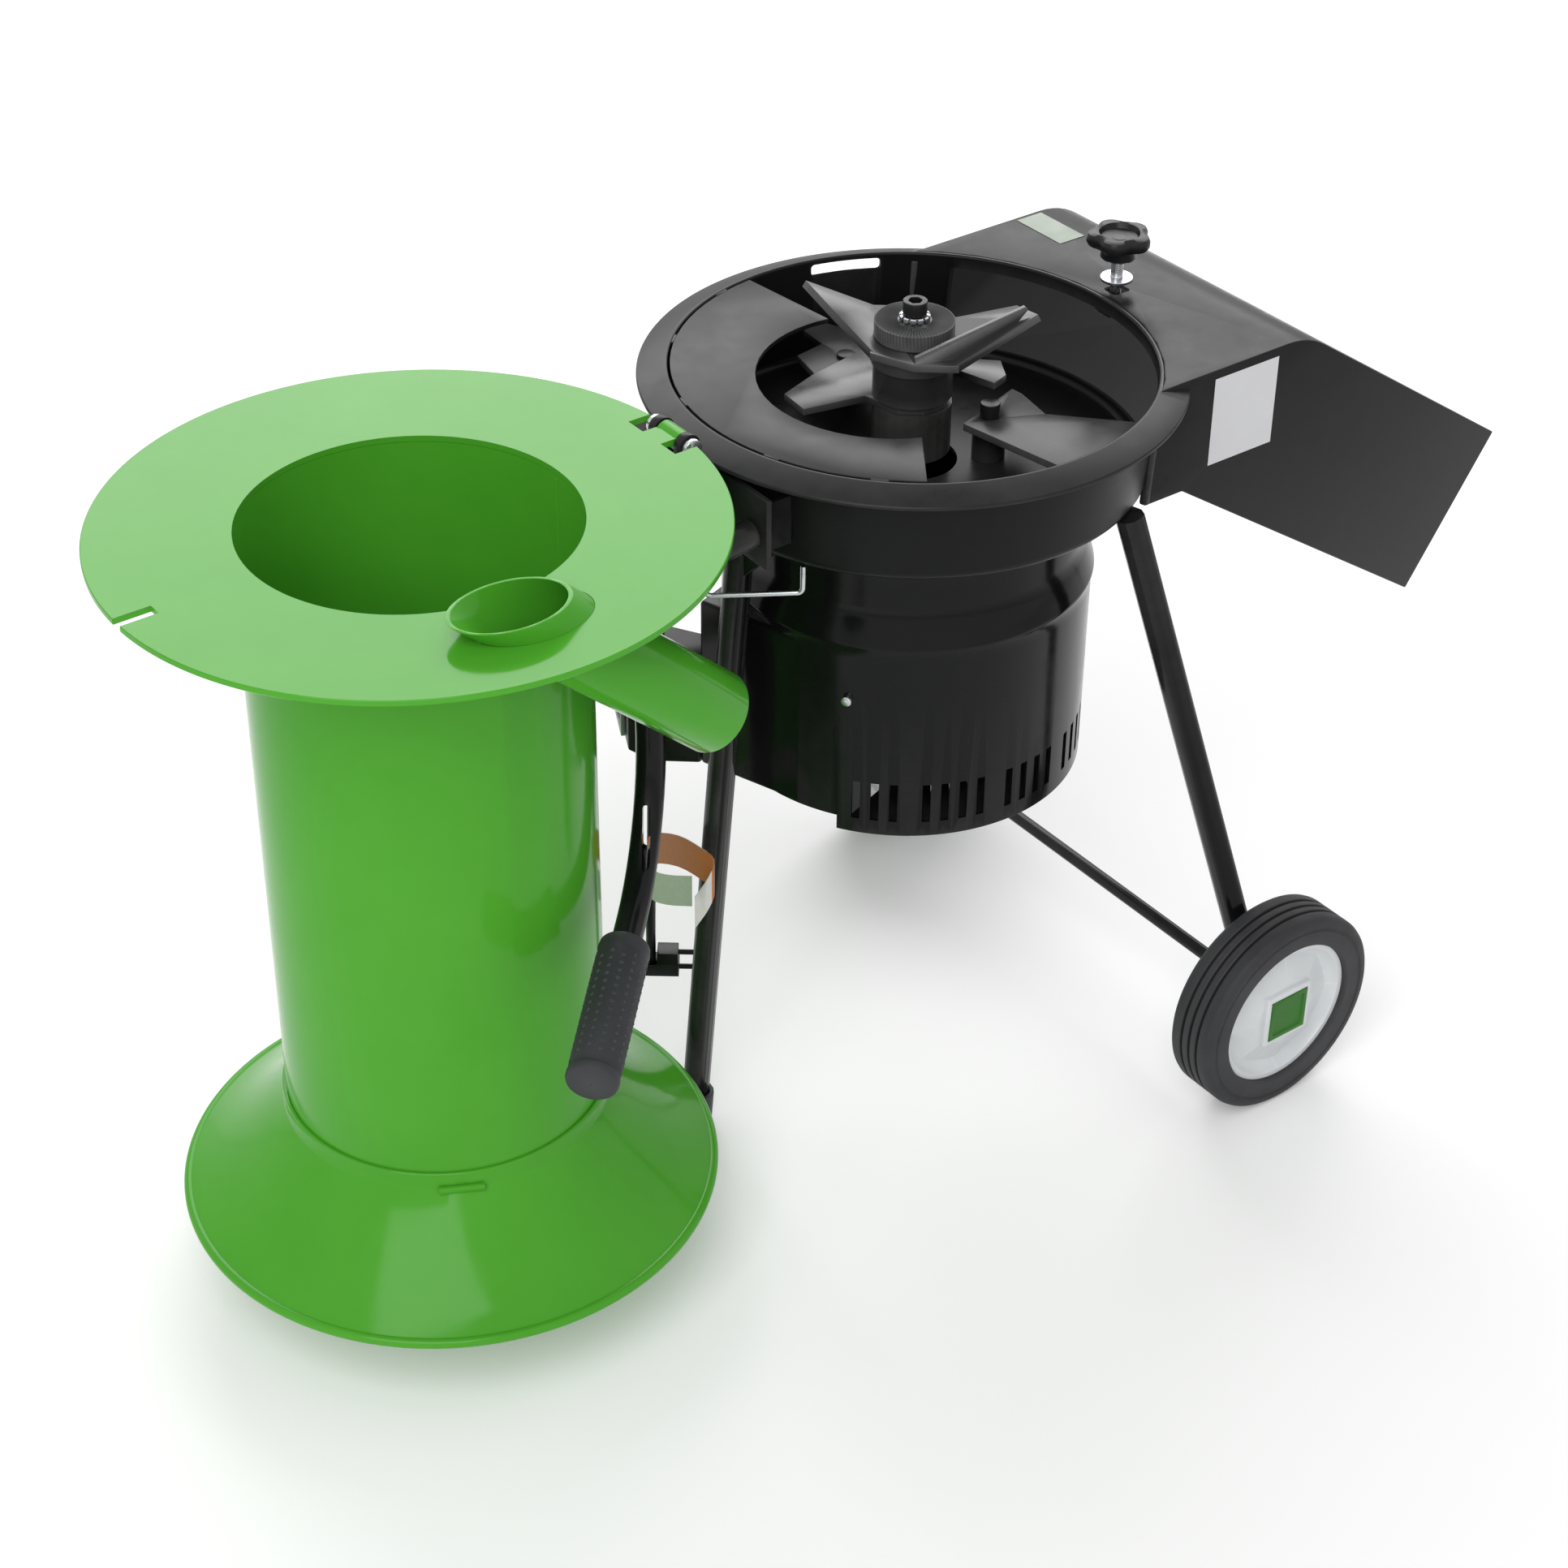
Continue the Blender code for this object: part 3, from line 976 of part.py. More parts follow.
def make_side(sign):
    """Rear leg, wheel, handle and grip of one side."""
    side = "left" if sign > 0 else "right"
    tab_out = WHEEL_MIDDLE_Y - WHEEL_WIDTH / 2 - HUB_STAND - 2 * GAP
    tab_y = tab_out - LEG_TAB_THICK / 2
    top = REAR_LEG_TOP + Vector((0, 0, DRUM_FLOOR - 1.5 * MM))
    low = Vector((WHEEL_X, tab_y - LEG_RADIUS * 0.6, WHEEL_RADIUS + 30 * MM))
    leg = rod("rear_leg_" + side, [mirrored(top, sign), mirrored(low, sign)], LEG_RADIUS,
              "black_steel")
    tab = block("tab_" + side, (LEG_RADIUS * 2.2, LEG_TAB_THICK, 62 * MM),
                (WHEEL_X, sign * tab_y, WHEEL_RADIUS + 17 * MM))
    axle_bore = AXLE_RADIUS + AXLE_CLEAR
    bore = pin("tab_bore_" + side, axle_bore, (WHEEL_X, sign * (tab_y - 12 * MM), WHEEL_RADIUS),
               (WHEEL_X, sign * (tab_y + 12 * MM), WHEEL_RADIUS))
    ceiling = block("leg_ceiling_" + side, (80 * MM, 80 * MM, 40 * MM),
                    (top.x, sign * top.y, DRUM_FLOOR - GAP + 20 * MM))
    join(leg, tab)
    cut(leg, bore, ceiling)

    half = WHEEL_WIDTH / 2
    tread = [(WHEEL_RADIUS - 3 * MM, half), (WHEEL_RADIUS, half - 4 * MM)]
    for number in (1, 0, -1):
        middle = number * 7.5 * MM
        tread += [(WHEEL_RADIUS, middle + GROOVE_WIDTH), (WHEEL_RADIUS - GROOVE_DEPTH, middle),
                  (WHEEL_RADIUS, middle - GROOVE_WIDTH)]
    tread += [(WHEEL_RADIUS, 4 * MM - half), (WHEEL_RADIUS - 3 * MM, -half)]
    tyre_bore = RIM_RADIUS + GAP
    tyre = turned("tyre_" + side, tread + [(tyre_bore, -half), (tyre_bore, half)], "rubber",
                  MEDIUM)
    rim_half = RIM_WIDTH / 2
    shape = [(RIM_RADIUS, rim_half), (RIM_RADIUS, -rim_half), (RIM_RADIUS - 6 * MM, -rim_half)]
    shape += [(RIM_RADIUS - 9 * MM, -rim_half * 0.4), (HUB_RADIUS_WHEEL, -rim_half * 0.4)]
    shape += [(HUB_RADIUS_WHEEL, -half - HUB_STAND), (axle_bore, -half - HUB_STAND)]
    shape += [(axle_bore, rim_half)]
    shape += [(HUB_RADIUS_WHEEL, rim_half), (22 * MM, rim_half * 0.5)]
    shape += [(RIM_RADIUS - 9 * MM, rim_half * 0.5)]
    shape += [(RIM_RADIUS - 6 * MM, rim_half)]
    rim = turned("wheel_rim_" + side, shape, "wheel_white", MEDIUM)
    cap_low, cap_high = rim_half + GAP, half
    cap = block("hub_cap_" + side, (HUB_CAP_SIDE, HUB_CAP_SIDE, cap_high - cap_low),
                (0, 0, (cap_low + cap_high) / 2), "green_paint")
    stand = Matrix.Rotation(math.radians(-90 * sign), 4, "X")
    spot = Matrix.Translation((WHEEL_X, sign * WHEEL_MIDDLE_Y, WHEEL_RADIUS))
    for piece in (tyre, rim, cap):
        piece.matrix_world = spot @ stand @ piece.matrix_basis
    way = [mirrored(point, sign) for point in (HANDLE_TOP, HANDLE_KNEE, HANDLE_ELBOW, HANDLE_END)]
    line = bent(way[:3], HANDLE_BEND)[:-1] + bent(way[1:], HANDLE_ELBOW_BEND, 8)[1:]
    handle = rod("handle_" + side, line, LEG_RADIUS, "black_steel")
    cut(handle, block("handle_slot_" + side, (70 * MM, HANDLE_SLOT_WIDTH, HANDLE_SLOT_HEIGHT),
                      mirrored(HANDLE_SLOT_AT, sign), turn=-sign * HANDLE_SLOT_AZIMUTH))
    back = (way[2] - way[3]).normalized()
    tip = way[3] - back * GRIP_END_WALL
    grip = pin("grip_" + side, GRIP_RADIUS, tip + back * GRIP_LENGTH, tip, "rubber")
    cut(grip, pin("grip_bore_" + side, LEG_RADIUS + GAP, tip + back * (GRIP_LENGTH + 10 * MM),
                  way[3] - back * GAP))
    return tyre, rim, cap


def make_undercarriage():
    """Axle, front leg with its gussets, and the rubber foot."""
    reach = WHEEL_MIDDLE_Y + RIM_WIDTH / 2 - 1 * MM
    pin("axle", AXLE_RADIUS, (WHEEL_X, -reach, WHEEL_RADIUS), (WHEEL_X, reach, WHEEL_RADIUS),
        "black_steel")
    top = Vector((FRONT_LEG_TOP_X, 0, DRUM_FLOOR - GAP))
    foot = Vector((FRONT_LEG_FOOT_X, 0, 0))
    back = (top - foot).normalized()
    leg = pin("front_leg", LEG_RADIUS, foot + back * FOOT_SOLE, top + back * 10 * MM,
              "black_steel")
    for sign in (-1, 1):
        corners = [(-(LEG_RADIUS - 3 * MM), 0), (-(LEG_RADIUS + 30 * MM), 0)]
        corners += [(-(LEG_RADIUS + 28 * MM), -5 * MM), (-(LEG_RADIUS - 3 * MM), -36 * MM)]
        gusset = plate("gusset_%d" % (sign + 2), [corners], 4 * MM, 0, upright=True)
        gusset.matrix_world = (Matrix.Translation(top - Vector((3 * MM, 0, GAP)))
                               @ Matrix.Rotation(math.pi / 2 * sign, 4, "Z")
                               @ Matrix.Rotation(math.pi / 2, 4, "X"))
        join(leg, gusset)
    cut(leg, block("front_leg_ceiling", (90 * MM, 120 * MM, 60 * MM),
                   (top.x, 0, DRUM_FLOOR - GAP + 30 * MM)))
    boot = pin("front_foot", FOOT_RADIUS, foot - back * 10 * MM, foot + back * FOOT_HEIGHT,
               "rubber")
    cut(boot, block("floor_cut", (80 * MM, 80 * MM, 40 * MM), (foot.x, 0, -20 * MM)))
    cut(boot, pin("foot_bore", LEG_RADIUS + GAP, foot + back * (FOOT_SOLE - GAP),
                  foot + back * 60 * MM))


def make_cord_hook():
    """The bent wire under the drum that the cord hangs from."""
    z = DRUM_FLOOR - GAP
    way = [Vector((-137 * MM, -66 * MM, z)), Vector((-137 * MM, -66 * MM, z - 19 * MM))]
    way += [Vector((-184 * MM, -27 * MM, z - 24 * MM)), Vector((-184 * MM, -27 * MM, z - 15 * MM))]
    return rod("cord_hook", bent(way, 3.5 * MM, 4), 1.8 * MM, "zinc", sides=2)


def smooth(points, count):
    """Even points of a smooth curve through the route's own points."""
    line = [Vector(p) for p in points]
    line = [line[0] * 2 - line[1]] + line + [line[-1] * 2 - line[-2]]
    way = []
    for number in range(1, len(line) - 2):
        a, b, c, d = line[number - 1:number + 3]
        for step in range(count):
            t = step / count
            part = b * 2 + (c - a) * t + (a * 2 - b * 5 + c * 4 - d) * t * t
            way.append((part + (b * 3 - a - c * 3 + d) * t ** 3) * 0.5)
    return way + [line[-2]]


def ribbon(name, points, width, thick, colour):
    """A flat strip on edge along points, its width upright."""
    strip = bmesh.new()
    rows = []
    for number, point in enumerate(points):
        ahead = points[min(number + 1, len(points) - 1)] - points[max(number - 1, 0)]
        side = Vector((-ahead.y, ahead.x, 0)).normalized() * thick / 2
        up = Vector((0, 0, width / 2))
        rows.append([strip.verts.new(point + offset)
                     for offset in (side + up, side - up, -side - up, -side + up)])
    for row, after in zip(rows, rows[1:]):
        for corner in range(4):
            other = (corner + 1) % 4
            strip.faces.new((row[corner], row[other], after[other], after[corner]))
    strip.faces.new(rows[0][::-1])
    strip.faces.new(rows[-1])
    bmesh.ops.recalc_face_normals(strip, faces=strip.faces)
    mesh = bpy.data.meshes.new(name)
    strip.to_mesh(mesh)
    strip.free()
    return place(bpy.data.objects.new(name, mesh), name, colour)


def make_cord():
    """The cord's hanging length, its two-pin plug and a blank paper tag looped round it."""
    start_z = ANNEX_BOTTOM - GLAND_LENGTH - GAP
    x, y = CORD_EXIT.x, CORD_EXIT.y
    ahead = Vector((math.cos(PLUG_AZIMUTH), math.sin(PLUG_AZIMUTH), 0))
    body = block("plug", (24 * MM, 16 * MM, 10 * MM), PLUG_CENTRE - Vector((0, 0, 4.5 * MM)),
                 "plastic_black", PLUG_AZIMUTH)
    upper = block("plug_upper", (15 * MM, 14 * MM, 11 * MM),
                  PLUG_CENTRE + ahead * 4 * MM + Vector((0, 0, 4.5 * MM)), turn=PLUG_AZIMUTH)
    join(body, upper)
    for number, rise in enumerate((-6 * MM, 7 * MM)):
        root = PLUG_CENTRE + Vector((0, 0, rise)) + ahead * 8 * MM
        tip = PLUG_CENTRE + Vector((0, 0, rise)) + ahead * (12 * MM + PRONG_LENGTH)
        join(body, pin("prong_%d" % number, PRONG_RADIUS, root, tip, sides=TINY))
    end = PLUG_CENTRE - ahead * 8 * MM + Vector((0, 0, 0.5 * MM + GAP))
    route = [Vector((x, y, start_z)), Vector((x, y, start_z - 12 * MM))]
    route += [Vector((-163.3 * MM, 68 * MM, 197 * MM)), Vector((-163.8 * MM, 70 * MM, 143 * MM))]
    route += [end + Vector((0, 0, 14 * MM)), end]
    rod("mains_cord", smooth(route, 3), CORD_RADIUS, "plastic_black", sides=2)
    way = [(-162, 22, 184), (-167, 46, 173), (-170.5, 60, 172), (-171.5, 62, 189), (-173, 52, 207)]
    way += [(-180, 12, 232), (-182, -18, 240), (-181, -31, 238), (-187, -33, 227), (-196, -30, 213)]
    ribbon("cord_tag", smooth([Vector(point) * MM for point in way], 3), TAG_WIDTH,
           TAG_THICK, "paper")


def carry(children, empty):
    """Parent pieces to an empty and leave them where they are."""
    bpy.context.view_layer.update()
    for child in children:
        child.parent = empty
        child.matrix_parent_inverse = empty.matrix_world.inverted()


def axis_empty(name, place_):
    """An empty on a joint's axis."""
    made = bpy.data.objects.new(name, None)
    bpy.data.collections[MODEL].objects.link(made)
    made.location = place_
    return made


def main():
    start()
    make_drum()
    make_feed_plate()
    make_chute_hood()
    make_counter_knives()
    make_motor_cover()
    make_base_plate()
    make_undercarriage()
    make_cord_hook()
    make_cord()
    make_hinge()

    carry(make_knife_set() + make_motor(), axis_empty("rotor_axis", (0, 0, HUB_BOTTOM)))
    carry(make_hopper(), axis_empty("hopper_axis", (HINGE_X, 0, HINGE_Z)))
    carry(make_clamp(), axis_empty("clamp_axis", (CLAMP_X, 0, DRUM_TOP - CLAMP_PIVOT_DROP)))
    rocker_place = (BOX_NEAR + BOX_FAR) / 2 + Vector((0, 0, ROCKER_CENTRE_Z))
    carry([make_switch()], axis_empty("rocker_axis", rocker_place))
    for sign in (-1, 1):
        wheel = make_side(sign)
        side = "left" if sign > 0 else "right"
        hub = (WHEEL_X, sign * WHEEL_MIDDLE_Y, WHEEL_RADIUS)
        carry(wheel, axis_empty("wheel_axis_" + side, hub))

    middle = axis_empty("object_origin", (0, 0, 0))
    carry([thing for thing in bpy.data.objects if not thing.parent and thing != middle], middle)
    middle.location.x = -MIDDLE_X


main()
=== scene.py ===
# %% [markdown]
# # A garden shredder, finished by hand
# The engineer's model gives every piece as a plain solid, and this lesson turns those solids
# into painted steel, rubber and plastic. Round pieces are raised again from a circle, ring by
# ring, because the plain ones have few facets. Flat and small pieces are copied, welded and get
# rounded edges. All sizes are in millimetres from the knife drum's upright axis.

# %% Load the frame
import math
import bpy
from mathutils import Matrix, Vector


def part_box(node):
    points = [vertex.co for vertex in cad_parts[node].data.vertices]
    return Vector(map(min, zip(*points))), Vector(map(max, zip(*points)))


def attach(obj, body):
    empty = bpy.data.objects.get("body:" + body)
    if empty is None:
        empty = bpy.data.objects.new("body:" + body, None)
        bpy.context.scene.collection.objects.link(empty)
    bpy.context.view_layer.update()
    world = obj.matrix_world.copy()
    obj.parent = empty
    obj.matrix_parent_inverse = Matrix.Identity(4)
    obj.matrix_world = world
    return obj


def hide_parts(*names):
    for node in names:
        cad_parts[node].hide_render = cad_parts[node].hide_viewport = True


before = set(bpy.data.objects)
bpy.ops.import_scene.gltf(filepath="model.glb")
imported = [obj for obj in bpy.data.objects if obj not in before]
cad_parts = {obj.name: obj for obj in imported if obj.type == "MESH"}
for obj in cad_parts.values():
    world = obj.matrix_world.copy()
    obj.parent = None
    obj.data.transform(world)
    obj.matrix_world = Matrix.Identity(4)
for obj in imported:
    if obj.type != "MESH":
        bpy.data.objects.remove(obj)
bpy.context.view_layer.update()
MM = 0.001
hub_low, hub_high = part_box("rotor_hub")
AXIS_X = (hub_low[0] + hub_high[0]) / 2

# %% [markdown]
# ## Camera and cord first
# The camera stands where the photographer stood, a little above and to the left of the machine,
# looking down by about 35 degrees. It is placed from its own direction rather than by a helper,
# so that its small roll is kept.

# %% Camera
def spot(x, y, z):
    """A point given in mm from the drum's axis, as metres in the scene."""
    return Vector((x * MM + AXIS_X, y * MM, z * MM))


yaw, pitch, roll = math.radians(52.927), math.radians(35.084), math.radians(0.6305)
ahead = Vector((math.cos(pitch) * math.cos(yaw), math.cos(pitch) * math.sin(yaw), -math.sin(pitch)))
level_right = Vector((math.sin(yaw), -math.cos(yaw), 0))
level_up = level_right.cross(ahead)
right = level_right * math.cos(roll) + level_up * math.sin(roll)
up = level_up * math.cos(roll) - level_right * math.sin(roll)
turn = Matrix((right, up, -ahead)).transposed().to_4x4()
lens = bpy.data.cameras.new("camera")
lens.sensor_width = 36
lens.lens = 72.76
camera = bpy.data.objects.new("camera", lens)
camera.matrix_world = Matrix.Translation((-1.094735, -1.4044, 1.4974)) @ turn
bpy.context.scene.collection.objects.link(camera)
bpy.context.scene.camera = camera
bpy.context.scene.view_settings.view_transform = "Standard"
print("camera looks along", [round(c, 3) for c in ahead])

# %% [markdown]
# ## Tools of this workshop
# Every operator works on what is selected, so each piece starts with nothing selected. A turned
# piece starts as one circle, which is extruded and scaled from ring to ring like a pot on a
# wheel. A pressed or cut piece starts as a welded copy of the engineer's solid. Holes are cut
# with Boolean modifiers and edges are rounded with Bevel modifiers, both applied.

# %% Start and shape a piece
def clear_picks():
    """Nothing in edit mode and nothing selected."""
    if bpy.context.object and bpy.context.object.mode != "OBJECT":
        bpy.ops.object.mode_set(mode="OBJECT")
    bpy.ops.object.select_all(action="DESELECT")


def pick(thing):
    """Only this object selected and active."""
    clear_picks()
    thing.select_set(True)
    bpy.context.view_layer.objects.active = thing
    return thing


def weld(thing, outward=True, distance=0.00002):
    """Merge doubled points, and turn the faces outwards."""
    pick(thing)
    bpy.ops.object.mode_set(mode="EDIT")
    bpy.ops.mesh.select_all(action="SELECT")
    bpy.ops.mesh.remove_doubles(threshold=distance)
    if outward:
        bpy.ops.mesh.normals_make_consistent(inside=False)
    bpy.ops.object.mode_set(mode="OBJECT")
    return thing


def raise_rings(name, rings, centre=(0, 0), sides=96):
    """Extrude a circle from ring to ring and back to the first. Rings are (radius, height) in mm."""
    clear_picks()
    radius, height = rings[0]
    middle = spot(centre[0], centre[1], height)
    bpy.ops.mesh.primitive_circle_add(vertices=sides, radius=radius * MM, location=middle)
    thing = bpy.context.object
    thing.name = name
    bpy.ops.object.mode_set(mode="EDIT")
    bpy.ops.mesh.select_all(action="SELECT")
    for before, after in zip(rings, rings[1:] + rings[:1]):
        bpy.ops.mesh.extrude_edges_move(
            TRANSFORM_OT_translate={"value": (0, 0, (after[1] - before[1]) * MM)})
        share = after[0] / before[0]
        bpy.ops.transform.resize(value=(share, share, 1),
                                 center_override=spot(centre[0], centre[1], after[1]))
    bpy.ops.object.mode_set(mode="OBJECT")
    return weld(thing)


def modify(thing, kind, **settings):
    """Put one modifier on a piece and apply it."""
    pick(thing)
    step = thing.modifiers.new(kind.lower(), kind)
    for word, value in settings.items():
        setattr(step, word, value)
    bpy.ops.object.modifier_apply(modifier=step.name)
    return thing


def carve(thing, *cutters, operation="DIFFERENCE"):
    """Cut tools out of a piece, or join them to it, and take the tools away."""
    for cutter in cutters:
        modify(thing, "BOOLEAN", object=cutter, operation=operation, solver="EXACT")
        bpy.data.objects.remove(cutter, do_unlink=True)
    return thing


def round_edges(thing, width, segments=2, angle=30):
    """Bevel the edges that turn by more than an angle."""
    return modify(thing, "BEVEL", width=width * MM, segments=segments, limit_method="ANGLE",
                  angle_limit=math.radians(angle), miter_outer="MITER_ARC", use_clamp_overlap=True)


def bar(name, radius, low, high, sides=48):
    """A round bar between two points in mm, for a tool or the start of a piece."""
    start, end = spot(*low), spot(*high)
    way = end - start
    clear_picks()
    bpy.ops.mesh.primitive_cylinder_add(vertices=sides, radius=radius * MM, depth=way.length,
                                        location=(start + end) / 2,
                                        rotation=way.to_track_quat("Z", "X").to_euler())
    bpy.context.object.name = name
    return bpy.context.object


def brick(name, size, middle, turn=0.0):
    """A box of a size in mm at a place, turned about its upright axis."""
    clear_picks()
    bpy.ops.mesh.primitive_cube_add(size=1, location=spot(*middle), rotation=(0, 0, turn),
                                    scale=[side * MM for side in size])
    bpy.context.object.name = name
    return bpy.context.object


def join_all(things):
    """Join pieces into the first of them."""
    clear_picks()
    for thing in things:
        thing.select_set(True)
    bpy.context.view_layer.objects.active = things[0]
    bpy.ops.object.join()
    return things[0]


def draw_line(name, points, radius, fine):
    """A curve with a round section through points in mm."""
    shape = bpy.data.curves.new(name, "CURVE")
    shape.dimensions = "3D"
    shape.bevel_depth = radius * MM
    shape.bevel_resolution = fine
    shape.use_fill_caps = True
    spline = shape.splines.new("POLY")
    spline.points.add(len(points) - 1)
    for point, place in zip(spline.points, points):
        point.co = (*spot(*place), 1)
    thing = bpy.data.objects.new(name, shape)
    bpy.context.scene.collection.objects.link(thing)
    return thing


def copy_of(node, name=None):
    """A welded copy of the engineer's solid, its flat faces joined again."""
    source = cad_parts[node]
    thing = bpy.data.objects.new(name or node + "_finished", source.data.copy())
    bpy.context.scene.collection.objects.link(thing)
    weld(thing, outward=False, distance=0.000005)
    bpy.ops.object.mode_set(mode="EDIT")
    bpy.ops.mesh.select_all(action="SELECT")
    bpy.ops.mesh.dissolve_limited(angle_limit=math.radians(0.5))
    bpy.ops.object.mode_set(mode="OBJECT")
    thing.data.materials.clear()
    return thing


# %% Hand a finished piece over
def settle(thing, body, stands_for=(), finish=None, smooth=32):
    """Put the origin at the scene's, shade it, paint it, and let it ride on its body."""
    pick(thing)
    bpy.ops.object.transform_apply(location=True, rotation=True, scale=True)
    if smooth:
        bpy.ops.object.shade_smooth_by_angle(angle=math.radians(smooth), keep_sharp_edges=False)
    if finish:
        thing.data.materials.clear()
        thing.data.materials.append(finish)
    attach(thing, body)
    if stands_for:
        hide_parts(*stands_for)
    return thing

# %% [markdown]
# ## Finishes
# Real paint is never one flat colour. Each finish here has a fine grain in its bump, patches of
# slightly different gloss, a slow drift of colour, and brighter or paler edges where hands and
# branches rub. One helper lays these down from noise on Object coordinates, and each finish
# then gives its own numbers.

# %% The helper for a finish
def add_node(tree, kind, **values):
    """Add a shader node, setting its inputs and options by name."""
    node = tree.nodes.new(kind)
    for word, value in values.items():
        place = word.replace("_", " ")
        if place in node.inputs:
            node.inputs[place].default_value = value
        else:
            setattr(node, word, value)
    return node


def finish_of(name, colour, drift, gloss, grain, metal=0.0, wear=None, level=0.5):
    """A finish. drift is the second colour, gloss the (low, high) roughness, grain the
    (size, height) of the bump in mm, wear the (colour, strength) at outer edges, and level
    how strongly the surface mirrors."""
    made = bpy.data.materials.new(name)
    made.use_nodes = True
    tree = made.node_tree
    shader = tree.nodes["Principled BSDF"]
    shader.inputs["Metallic"].default_value = metal
    shader.inputs["Specular IOR Level"].default_value = level
    where = add_node(tree, "ShaderNodeTexCoord")
    clouds = add_node(tree, "ShaderNodeTexNoise", Scale=9.0, Detail=5.0, Roughness=0.6)
    tree.links.new(where.outputs["Object"], clouds.inputs["Vector"])
    tint = add_node(tree, "ShaderNodeMix", data_type="RGBA")
    tint.inputs["A"].default_value = (*colour, 1)
    tint.inputs["B"].default_value = (*drift, 1)
    spread = add_node(tree, "ShaderNodeMapRange", From_Min=0.35, From_Max=0.7)
    tree.links.new(clouds.outputs["Fac"], spread.inputs["Value"])
    tree.links.new(spread.outputs["Result"], tint.inputs["Factor"])
    last = tint.outputs["Result"]
    smears = add_node(tree, "ShaderNodeTexNoise", Scale=38.0, Detail=6.0, Roughness=0.65)
    tree.links.new(where.outputs["Object"], smears.inputs["Vector"])
    shine = add_node(tree, "ShaderNodeMapRange", From_Min=0.3, From_Max=0.75)
    shine.inputs["To Min"].default_value = gloss[0]
    shine.inputs["To Max"].default_value = gloss[1]
    tree.links.new(smears.outputs["Fac"], shine.inputs["Value"])
    tree.links.new(shine.outputs["Result"], shader.inputs["Roughness"])
    if wear:
        edges = add_node(tree, "ShaderNodeNewGeometry")
        rub = add_node(tree, "ShaderNodeMapRange", From_Min=0.52, From_Max=0.62)
        rub.inputs["To Max"].default_value = wear[1]
        tree.links.new(edges.outputs["Pointiness"], rub.inputs["Value"])
        broken = add_node(tree, "ShaderNodeMath", operation="MULTIPLY")
        tree.links.new(rub.outputs["Result"], broken.inputs[0])
        tree.links.new(smears.outputs["Fac"], broken.inputs[1])
        worn = add_node(tree, "ShaderNodeMix", data_type="RGBA")
        worn.inputs["B"].default_value = (*wear[0], 1)
        tree.links.new(last, worn.inputs["A"])
        tree.links.new(broken.outputs["Value"], worn.inputs["Factor"])
        last = worn.outputs["Result"]
    tree.links.new(last, shader.inputs["Base Color"])
    pores = add_node(tree, "ShaderNodeTexNoise", Scale=1000.0 / grain[0], Detail=3.0)
    tree.links.new(where.outputs["Object"], pores.inputs["Vector"])
    bump = add_node(tree, "ShaderNodeBump", Strength=1.0, Distance=grain[1] * MM)
    tree.links.new(pores.outputs["Fac"], bump.inputs["Height"])
    tree.links.new(bump.outputs["Normal"], shader.inputs["Normal"])
    return made


# %% Paints, metals, plastics and paper
PALE_EDGE = (0.30, 0.30, 0.29)
GROUND_EDGE = (0.42, 0.42, 0.42)
green_paint = finish_of("green_gloss", (0.068, 0.345, 0.022), (0.080, 0.370, 0.028), (0.09, 0.17),
                        (6.0, 0.03), level=0.15)
black_paint = finish_of("black_satin", (0.0050, 0.0050, 0.0054), (0.0075, 0.0075, 0.0079),
                        (0.26, 0.38), (1.6, 0.02), wear=(PALE_EDGE, 0.25), level=0.13)
black_gloss = finish_of("black_gloss", (0.0046, 0.0046, 0.0050), (0.0065, 0.0065, 0.0070),
                        (0.12, 0.22), (5.0, 0.02), wear=(PALE_EDGE, 0.2), level=0.16)
zinc = finish_of("bright_zinc", (0.62, 0.63, 0.65), (0.50, 0.51, 0.54), (0.18, 0.38),
                 (1.2, 0.02), metal=1.0)
knife_steel = finish_of("knife_steel", (0.012, 0.012, 0.0125), (0.020, 0.020, 0.021), (0.26, 0.42),
                        (1.2, 0.03), wear=(GROUND_EDGE, 0.5), level=0.18)
rotor_steel = finish_of("rotor_steel", (0.022, 0.022, 0.023), (0.034, 0.034, 0.035), (0.24, 0.40),
                        (1.0, 0.04), wear=(GROUND_EDGE, 0.6), level=0.40)
cap_green = finish_of("cap_green", (0.030, 0.145, 0.018), (0.045, 0.185, 0.028), (0.4, 0.6),
                      (0.8, 0.12), level=0.2)
iron = finish_of("motor_iron", (0.30, 0.29, 0.28), (0.22, 0.21, 0.20), (0.35, 0.55), (1.0, 0.05),
                 metal=0.9)
cast = finish_of("cast_alloy", (0.45, 0.46, 0.47), (0.38, 0.38, 0.39), (0.4, 0.6), (0.9, 0.08),
                 metal=0.8)
tyre_rubber = finish_of("tyre_rubber", (0.018, 0.018, 0.020), (0.034, 0.034, 0.037), (0.55, 0.8),
                        (1.1, 0.12), wear=((0.12, 0.12, 0.125), 0.7), level=0.35)
grip_rubber = finish_of("grip_rubber", (0.022, 0.023, 0.027), (0.036, 0.037, 0.041), (0.5, 0.75),
                        (0.8, 0.1), wear=((0.10, 0.10, 0.11), 0.6), level=0.35)
white_plastic = finish_of("wheel_white", (0.72, 0.74, 0.75), (0.62, 0.64, 0.66), (0.28, 0.42),
                          (1.0, 0.02), wear=((0.85, 0.86, 0.86), 0.6))
black_plastic = finish_of("black_plastic", (0.0055, 0.0055, 0.006), (0.010, 0.010, 0.011),
                          (0.26, 0.40), (0.7, 0.05), wear=((0.10, 0.10, 0.10), 0.4), level=0.2)
red_plastic = finish_of("signal_red", (0.55, 0.018, 0.012), (0.46, 0.014, 0.010), (0.2, 0.36),
                        (0.8, 0.02))
